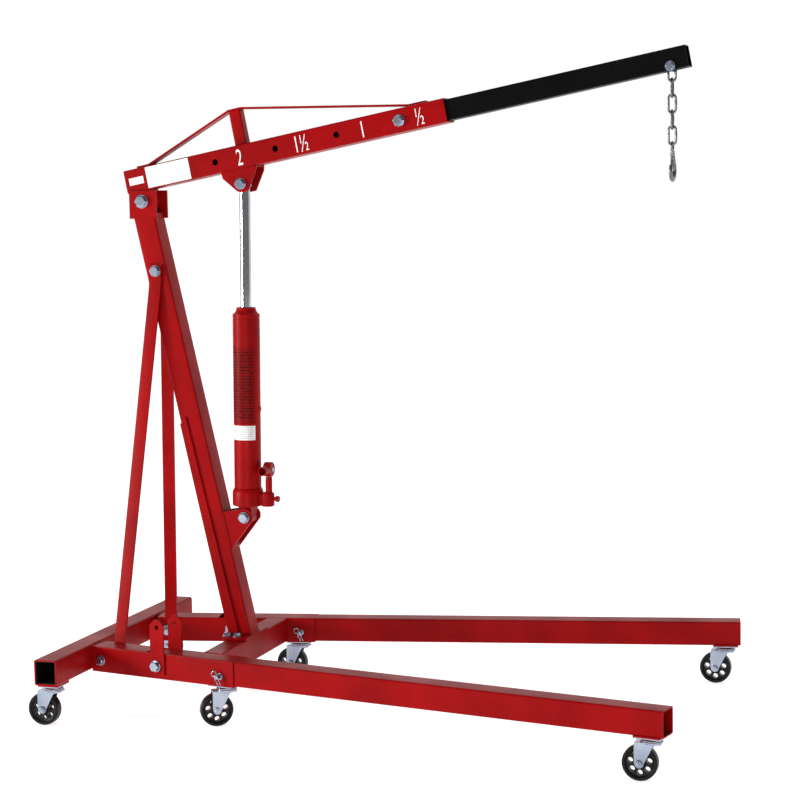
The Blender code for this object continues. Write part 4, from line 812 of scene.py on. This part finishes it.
def make_labels():
    wrapped_label("ram_plate", "red_label", 0.262, 0.212, -1.0, 118.0)
    wrapped_label("ram_notice", "notice", 0.217, 0.040, -1.0, 118.0, 0.0005)
    for side in (-1, 1):
        name = "near" if side < 0 else "far"
        y = side * BOOM_HALF
        along, rise = (BOOM_ALONG, BOOM_UP) if side < 0 else (-BOOM_ALONG, BOOM_UP)
        start = 0.026 if side < 0 else 0.158
        flat_label(f"boom_panel_{name}", "white", on_boom(start, BOOM_BOTTOM + 0.003, y), along * 0.132,
                   rise * (BOOM_HEIGHT - 0.006))
        start = -0.028 if side < 0 else 0.016
        flat_label(f"maker_label_{name}", "notice", on_boom(start, BOOM_BOTTOM + 0.020, y), along * 0.044,
                   rise * 0.020)
        for index, (text, reach) in enumerate(CAPACITY_MARKS):
            capacity_mark(f"capacity_{index + 1}_{name}", text, reach, side)


def capacity_mark(name, text, reach, side):
    """A painted numeral centred on a face of the boom."""
    curve = bpy.data.curves.new(name, "FONT")
    curve.body = text
    curve.size = MARK_HEIGHT * 1.38
    curve.align_x = "CENTER"
    curve.extrude = SKIN / 2
    curve.resolution_u = 6
    item = linked(name, curve)
    bpy.context.view_layer.update()
    mesh = bpy.data.meshes.new_from_object(item.evaluated_get(bpy.context.evaluated_depsgraph_get()))
    bpy.data.objects.remove(item)
    points = np.zeros(len(mesh.vertices) * 3)
    mesh.vertices.foreach_get("co", points)
    points = points.reshape(-1, 3)
    bottom = BOOM_BOTTOM + (BOOM_HEIGHT - MARK_HEIGHT) / 2
    flat = points[:, 0:1] * MARK_NARROWING * BOOM_ALONG * (-side) + points[:, 1:2] * BOOM_UP
    world = on_boom(reach, bottom, side * (BOOM_HALF + SKIN / 2 + 0.0001)) + flat + points[:, 2:3] * Y * side
    mesh.vertices.foreach_set("co", world.ravel())
    shape = bmesh.new()
    shape.from_mesh(mesh)
    bmesh.ops.remove_doubles(shape, verts=shape.verts, dist=0.000005)
    bmesh.ops.recalc_face_normals(shape, faces=shape.faces)
    shape.to_mesh(mesh)
    shape.free()
    write_uv(mesh, np.zeros((len(mesh.vertices), 2)))
    place(name, mesh, "mark", "boom")


# ---------------------------------------------------------------- chain and hook

def make_chain():
    """Each link: a stadium centre line (two half circles joined by straights) with a round section
    that swells a little at the weld in the middle of one side."""
    bend = LINK_INNER_WIDTH / 2 + WIRE
    straight = (LINK_INNER_LENGTH - LINK_INNER_WIDTH) / 2
    half_turn = np.linspace(0, np.pi, 25)
    angle = np.concatenate([half_turn, half_turn + np.pi])
    lift = np.concatenate([np.full(25, straight), np.full(25, -straight)])
    runs = np.linspace(0, 1, 9)[1:-1]
    for index in range(5):
        node = f"chain_link_{index + 1}"
        centre = middle(node)
        side = X if index % 2 == 0 else Y
        across = side * np.cos(angle)[:, None] + Z * np.sin(angle)[:, None]
        path = centre + across * bend + Z * lift[:, None]
        path_a, path_b = path[:25], path[25:]
        down = path_a[-1] + (path_b[0] - path_a[-1]) * runs[:, None]
        up = path_b[-1] + (path_a[0] - path_b[-1]) * runs[:, None]
        full = np.concatenate([path_a, down, path_b, up])
        normal = np.concatenate([across[:25], np.tile(-side, (7, 1)), across[25:], np.tile(side, (7, 1))])
        radius = np.full(len(full), WIRE)
        radius[-7:] += 0.0005 * np.sin(np.linspace(0, np.pi, 7))
        flat = np.tile(np.cross(side, Z), (len(full), 1))
        build(f"{node}_forged", [swept(full, normal, flat, radius, radius, 20, True)], "chain", node, (node,))


def make_hook():
    """Eye: a ring. Body: an oval section carried down the shank and round the hook, thick at the bottom
    of the curve and thin at the tip."""
    ring = (EYE_OUTER - EYE_INNER) / 2
    eye = HOOK_PIVOT + Z * (WIRE + 0.0003 - EYE_INNER)
    centre = eye - Z * HOOK_DROP
    angle = np.linspace(0, 2 * np.pi, 56, endpoint=False)
    out = Y * np.cos(angle)[:, None] + Z * np.sin(angle)[:, None]
    eye_shape = swept(eye + out * (EYE_INNER + ring), out, np.tile(X, (56, 1)), np.full(56, ring),
                      np.full(56, ring), 24, True)
    share = np.linspace(0, 1, 60)
    bend = np.radians(68 - 290 * share)
    out = Y * np.cos(bend)[:, None] + Z * np.sin(bend)[:, None]
    curve = centre + out * (HOOK_CURVE + HOOK_BODY)
    neck = eye - Z * (EYE_INNER + ring)
    step = np.linspace(0, 1, 14)[:-1, None]
    shank = neck + (curve[0] - neck) * (3 * step ** 2 - 2 * step ** 3) * Y + (curve[0] - neck) * step * Z
    path = np.concatenate([shank, curve])
    tangent = np.gradient(path, axis=0)
    tangent /= np.linalg.norm(tangent, axis=1)[:, None]
    across = np.cross(np.tile(X, (len(path), 1)), tangent)
    thick = np.concatenate([
        np.linspace(0.0056, 0.0064, 13), 0.0066 + 0.0 * share - 0.0026 * np.clip(2 * share - 1, 0, 1)
    ])
    thick[-3:] *= np.array([0.92, 0.75, 0.40])
    depth = thick * (1.0 - 0.12 * np.concatenate([np.zeros(13), np.sin(np.pi * share)]))
    body = swept(path, across, np.tile(X, (len(path), 1)), thick, depth, 28)
    build("hook_forged", [eye_shape, body], "chain", "hook", ("hook",), 60.0)
    tip = centre + np.array([0, -0.0126, 0.0112])
    along = tip - LATCH_PIVOT
    length = np.linalg.norm(along)
    along = along / length
    flat = np.cross(X, along)
    corner = LATCH_PIVOT - X * 0.0030 - flat * 0.0006
    plate = slab(corner, X * 0.0060, flat * 0.0012, along * (length - 0.0004))
    roll = [(0, 0.0012), (0, 0.0022), (0.0064, 0.0022), (0.0064, 0.0012)]
    curl = turned(LATCH_PIVOT - X * 0.0032, X, roll, 28)
    build("hook_latch_plate", [plate, curl], "zinc", "hook_latch", ("hook_latch",))


# ---------------------------------------------------------------- casters

def wheel_mesh():
    """Half section: crowned tread, round shoulder, flat side, sunk web, raised hub and bore; turned
    round Y, then a ring of round holes cut through the web."""
    shoulder = [
        (WHEEL_HALF - 0.0045 + 0.0045 * math.sin(a), WHEEL_RADIUS - 0.0045 + 0.0041 * math.cos(a))
        for a in np.linspace(0.15, math.pi / 2, 7)
    ]
    half = [(0.004, WHEEL_RADIUS)] + shoulder + [
        (WHEEL_HALF, 0.0365), (WHEEL_HALF - 0.0012, 0.0350), (WHEEL_HALF - 0.0040, 0.0340),
        (WHEEL_HALF - 0.0050, 0.0325), (WHEEL_HALF - 0.0050, 0.0160), (WHEEL_HALF - 0.0042, 0.0145),
        (WHEEL_HALF + 0.0002, 0.0132), (WHEEL_HALF + 0.0008, 0.0120), (WHEEL_HALF + 0.0008, 0.0068),
    ]
    profile = [(-distance, radius) for distance, radius in reversed(half)] + half
    points, _, _ = turned(np.zeros(3), Y, profile, 80)
    mesh = closed_mesh("wheel", points, grid_quads(len(profile), 80, True, True).tolist())
    wheel = linked("wheel_pattern", mesh)
    shapes = []
    for index in range(WHEEL_HOLES):
        angle = 2 * np.pi * (index + 0.25) / WHEEL_HOLES
        spot = np.array([math.cos(angle), 0, math.sin(angle)]) * WHEEL_RADIUS * 0.545
        shapes.append(turned(spot - Y * 0.03, Y, [(0, 0.0072), (0.06, 0.0072)], HOLE_SIDES))
    vertices = np.concatenate([points.reshape(-1, 3) for points, _, _ in shapes])
    faces = []
    for index in range(WHEEL_HOLES):
        start = index * HOLE_SIDES * 2
        rim = np.arange(HOLE_SIDES) + start
        faces += (grid_quads(2, HOLE_SIDES, False, True) + start).tolist()
        faces += [rim.tolist(), (rim + HOLE_SIDES).tolist()]
    cutter_mesh = closed_mesh("holes", vertices, faces)
    cutter = linked("holes", cutter_mesh)
    boolean = wheel.modifiers.new("holes", "BOOLEAN")
    boolean.operation = "DIFFERENCE"
    boolean.object = cutter
    bpy.context.view_layer.update()
    result = bpy.data.meshes.new_from_object(wheel.evaluated_get(bpy.context.evaluated_depsgraph_get()))
    for item in (wheel, cutter):
        bpy.data.objects.remove(item)
    return result


def moved(mesh, rotation, centre):
    copy = mesh.copy()
    copy.transform(Matrix.Translation(centre) @ rotation)
    return copy


def make_casters():
    pattern = wheel_mesh()
    for name in CASTERS:
        swivel = joint_point(f"swivel_{name}")
        axle = joint_point(f"roll_{name}")
        axis = joint_axis(f"roll_{name}")
        yaw = math.atan2(-axis[0], axis[1])
        wheel = moved(pattern, Matrix.Rotation(yaw, 4, "Z"), axle)
        place(f"wheel_{name}", wheel, "wheel", f"caster_wheel_{name}",
              (f"caster_wheel_{name}",), 34.0)
        softened(f"caster_fork_{name}", 0.0007, 40.0)
        outer = 0.0181
        body = f"caster_fork_{name}"
        nut = [(0.0, 0.0040), (0.0, 0.0086), (0.0012, 0.0088), (0.0012, 0.0078), (0.0060, 0.0078),
               (0.0066, 0.0070), (0.0066, 0.0040), (0.0082, 0.0040), (0.0086, 0.0034)]
        corners = [0, 0, 0, 0.0084, 0.0084, 0.0084, 0, 0, 0]
        ends = [turned(axle + axis * side * outer, axis * side, nut, 42, shape=corners) for side in (-1, 1)]
        build(f"axle_nuts_{name}", ends, "zinc", body, (), 30.0)
        race = [(0.0010, 0.0180), (0.0010, 0.0272), (0.0024, 0.0284), (0.0050, 0.0284), (0.0062, 0.0270),
                (0.0075, 0.0240), (0.0130, 0.0232), (0.0146, 0.0240), (0.0146, 0.0180)]
        top = CASTER_TOP - 0.0003 - 0.0146
        ring = turned(swivel * (X + Y) + Z * top, Z, race, 56)
        build(f"swivel_race_{name}", [ring], "zinc", body, (), 30.0)


def make_caster_seats():
    """The zinc mounting plate of each caster, wrapped round the foot of the tube's own pad."""
    half = 0.0353
    for name in CASTERS:
        swivel = joint_point(f"swivel_{name}") * (X + Y)
        place_on, side = name.split("_")
        body = f"leg_{side}" if place_on == "front" else "frame"
        along = X if place_on == "rear" else sleeve_frame(-1 if side == "near" else 1)[0]
        across = np.cross(Z, along)
        deep = 0.0293 if place_on == "rear" else half
        low_corner = swivel - along * deep - across * half + Z * (CASTER_TOP + 0.0001)
        plate = slab(low_corner, along * deep * 2, across * half * 2, Z * 0.0026)
        build(f"caster_seat_{name}", [plate], "zinc", body, (), 30.0)


def make_tube_insides():
    """Bare steel inside the two open ends of the rear beam, given a near-black colour as painted shade: a
    thin sleeve just inside the beam's wall.
    """
    beam_low = low("rear_beam")
    beam_high = high("rear_beam")
    wall = 0.0042
    centre = (beam_low + beam_high) / 2
    base = beam_high[2] - 0.070
    for name, side in SIDES:
        end = beam_low[1] if side < 0 else beam_high[1]
        corners = [(beam_low[0] + wall, base + wall), (beam_high[0] - wall, base + wall),
                   (beam_high[0] - wall, beam_high[2] - wall), (beam_low[0] + wall, beam_high[2] - wall)]
        rings = []
        for depth, shrink in ((0.0015, 0.0), (0.30, 0.0), (0.30, 0.0012), (0.0015, 0.0012)):
            y = end - side * depth
            rings.append([[x + (shrink if x < centre[0] else -shrink), y,
                           z + (shrink if z < base + 0.035 else -shrink)] for x, z in corners])
        # the sleeve's near-black finish is painted shade over the tube's real bare inside
        build(f"beam_inside_{name}", [(np.array(rings), True, False)], "bare_steel_and_shade", "frame", (), 30.0)


# ---------------------------------------------------------------- welds

def bead(name, start, end, lift, body, radius=0.0030):
    """A weld bead: a half-sunk round bead whose thickness ripples along its length."""
    length = float(np.linalg.norm(end - start))
    count = max(12, int(length / 0.0011))
    share = np.linspace(0, 1, count)
    path = start + (end - start) * share[:, None]
    along = (end - start) / length
    lift = lift / np.linalg.norm(lift)
    ripple = 1 + 0.13 * np.abs(np.sin(share * length / 0.0034 * np.pi))
    taper = np.minimum(1, np.minimum(share, 1 - share) * length / 0.003) ** 0.5
    width = radius * ripple * np.maximum(taper, 0.15)
    across = np.tile(np.cross(along, lift), (count, 1))
    return build(name, [swept(path, across, np.tile(lift, (count, 1)), width, width * 0.8, 10)], "red",
                 body, (), 60.0)


def make_welds():
    foot_z = low("mast")[2]
    foot_x = middle("base_plate")[0] - 0.0005
    rear, front = foot_x - MAST_HALF_DEPTH, foot_x + MAST_HALF_DEPTH
    for end, x, turn in (("rear", rear, -1.0), ("front", front, 1.0)):
        bead(f"mast_weld_{end}", np.array([x, -0.030, foot_z]), np.array([x, 0.030, foot_z]),
             np.array([turn, 0, 1.0]), "frame")
    top = BOOM_BOTTOM + BOOM_HEIGHT
    for end, reach, turn in (("rear", 0.296, -1), ("front", 0.330, 1)):
        bead(f"post_weld_{end}", on_boom(reach, top, -0.015), on_boom(reach, top, 0.015),
             BOOM_UP + BOOM_ALONG * turn, "boom", 0.0024)
    for name, side in SIDES:
        def boom_bead(weld, start, end, rise, y, lift, radius):
            bead(f"{weld}_{name}", on_boom(start, rise, side * y), on_boom(end, rise, side * y), lift,
                 "boom", radius)

        y = side * 0.0335
        bead(f"mast_weld_{name}", np.array([rear + 0.035, y, foot_z]), np.array([front, y, foot_z]),
             np.array([0, side, 1.0]), "frame")
        outward = BOOM_UP + Y * side
        boom_bead("post_weld", 0.298, 0.328, top, 0.017, outward, 0.0024)
        boom_bead("tie_weld_rear", -0.004, 0.028, top, 0.0155, outward, 0.0022)
        boom_bead("tie_weld_front", 0.806, 0.850, top, 0.0155, outward, 0.0022)
        under = BOOM_BOTTOM - 0.001
        boom_bead("upper_bracket_weld", 0.250, 0.347, under, 0.0318, Y * side - BOOM_UP * 0.4, 0.0022)
        y = side * 0.0318
        bracket = low("ram_lower_bracket")
        stitch_top = RAM_PIN[2] + 0.010
        if high("ram_lower_bracket")[2] > stitch_top:
            stitch_x = bracket[0] + 0.0005
            shift = (stitch_top - bracket[2]) * MAST_LEAN
            bead(f"lower_bracket_weld_{name}", np.array([stitch_x + shift, y, bracket[2] + 0.004]),
                 np.array([stitch_x, y, stitch_top]), np.array([0.5, side, 0]), "frame", 0.0024)


# ---------------------------------------------------------------- carried-over nodes

TUBES = ("rear_beam", "cross_beam", "sleeve_near", "sleeve_far", "leg_near", "leg_far", "mast", "boom",
         "extension", "king_post")
PLATES = ("base_plate", "head_bracket", "ram_lower_bracket", "ram_upper_bracket", "stiffener_near",
          "stiffener_far", "strap_outer_near", "strap_inner_near", "strap_outer_far", "strap_inner_far",
          "brace_near", "brace_far", "tie_bar")


def soften_steelwork():
    for node in TUBES:
        softened(node, 0.0006)
    for node in PLATES:
        softened(node, 0.0010)


# ---------------------------------------------------------------- stage

def make_stage():
    mesh = bpy.data.meshes.new("studio_floor")
    reach = 60.0
    mesh.from_pydata([(-reach, -reach, 0), (reach, -reach, 0), (reach, reach, 0), (-reach, reach, 0)], [],
                     [(0, 1, 2, 3)])
    floor = linked("studio_floor", mesh)
    material, shader = new_material("pale_floor", Roughness=0.9, Emission_Strength=0.70)
    shader.inputs["Base Color"].default_value = (0.90, 0.90, 0.90, 1.0)
    shader.inputs["Emission Color"].default_value = (1.0, 1.0, 1.0, 1.0)
    mesh.materials.append(material)
    world = bpy.data.worlds.new("studio")
    world.use_nodes = True
    tree = world.node_tree
    nodes, links = tree.nodes, tree.links
    back = nodes["Background"]
    parts = nodes.new("ShaderNodeSeparateXYZ")
    links.new(nodes.new("ShaderNodeTexCoord").outputs["Generated"], parts.inputs[0])
    lean = math_node(tree, "ADD", parts.outputs["Y"], math_node(tree, "MULTIPLY", parts.outputs["Z"], -0.60))
    lean = math_node(tree, "ADD", lean, math_node(tree, "MULTIPLY", parts.outputs["X"], -0.30))
    level = band(tree, lean, -0.30, 0.25, 0.22, 1.0)
    links.new(mix_colour(tree, level, (0.0, 0.0, 0.0), (1.0, 1.0, 1.0)), back.inputs["Color"])
    back.inputs["Strength"].default_value = 1.0
    bpy.context.scene.world = world
    area_light("key", (-5.6, -3.6, 1.5), 320.0, 1.4)
    area_light("low_fill", (0.9, -4.6, 0.25), 46.0, 1.4)
    area_light("top", (0.0, 0.5, 5.5), 40.0, 3.0)
    scene_view = bpy.context.scene.view_settings
    scene_view.view_transform = "Standard"


def area_light(name, location, power, size):
    light = bpy.data.lights.new(name, "AREA")
    light.energy = power
    light.size = size
    item = linked(name, light)
    item.location = location
    look = np.array([0.0, 0.0, 0.75]) - np.array(location)
    aim(item, look)


def aim(item, look, roll=0.0):
    """Points an item's -Z along a direction, with Z as near up as it can be, then rolls it."""
    look = look / np.linalg.norm(look)
    right = np.cross(look, Z)
    right /= np.linalg.norm(right)
    up = np.cross(right, look)
    side = right * math.cos(roll) + up * math.sin(roll)
    top = up * math.cos(roll) - right * math.sin(roll)
    turn = Matrix((side.tolist(), top.tolist(), (-look).tolist())).transposed()
    item.rotation_euler = turn.to_euler()


CAMERA_AT = (2.7242, -5.4664, 1.4623)       # from the rear face of the rear beam
CAMERA_AZIMUTH = math.radians(18.494)
CAMERA_DOWN = math.radians(6.040)
CAMERA_ROLL = math.radians(-1.020)
CAMERA_LENS = 96.52


def make_camera():
    camera = bpy.data.cameras.new("camera")
    camera.lens = CAMERA_LENS
    camera.sensor_width = 36.0
    item = linked("camera", camera)
    item.location = (BEAM_REAR + CAMERA_AT[0], CAMERA_AT[1], CAMERA_AT[2])
    look = np.array([-math.sin(CAMERA_AZIMUTH) * math.cos(CAMERA_DOWN),
                     math.cos(CAMERA_AZIMUTH) * math.cos(CAMERA_DOWN), -math.sin(CAMERA_DOWN)])
    aim(item, look, CAMERA_ROLL)
    bpy.context.scene.camera = item


make_camera()
make_stage()
soften_steelwork()
make_bolts()
make_ram()
make_labels()
make_chain()
make_hook()
make_casters()
make_caster_seats()
make_tube_insides()
make_welds()
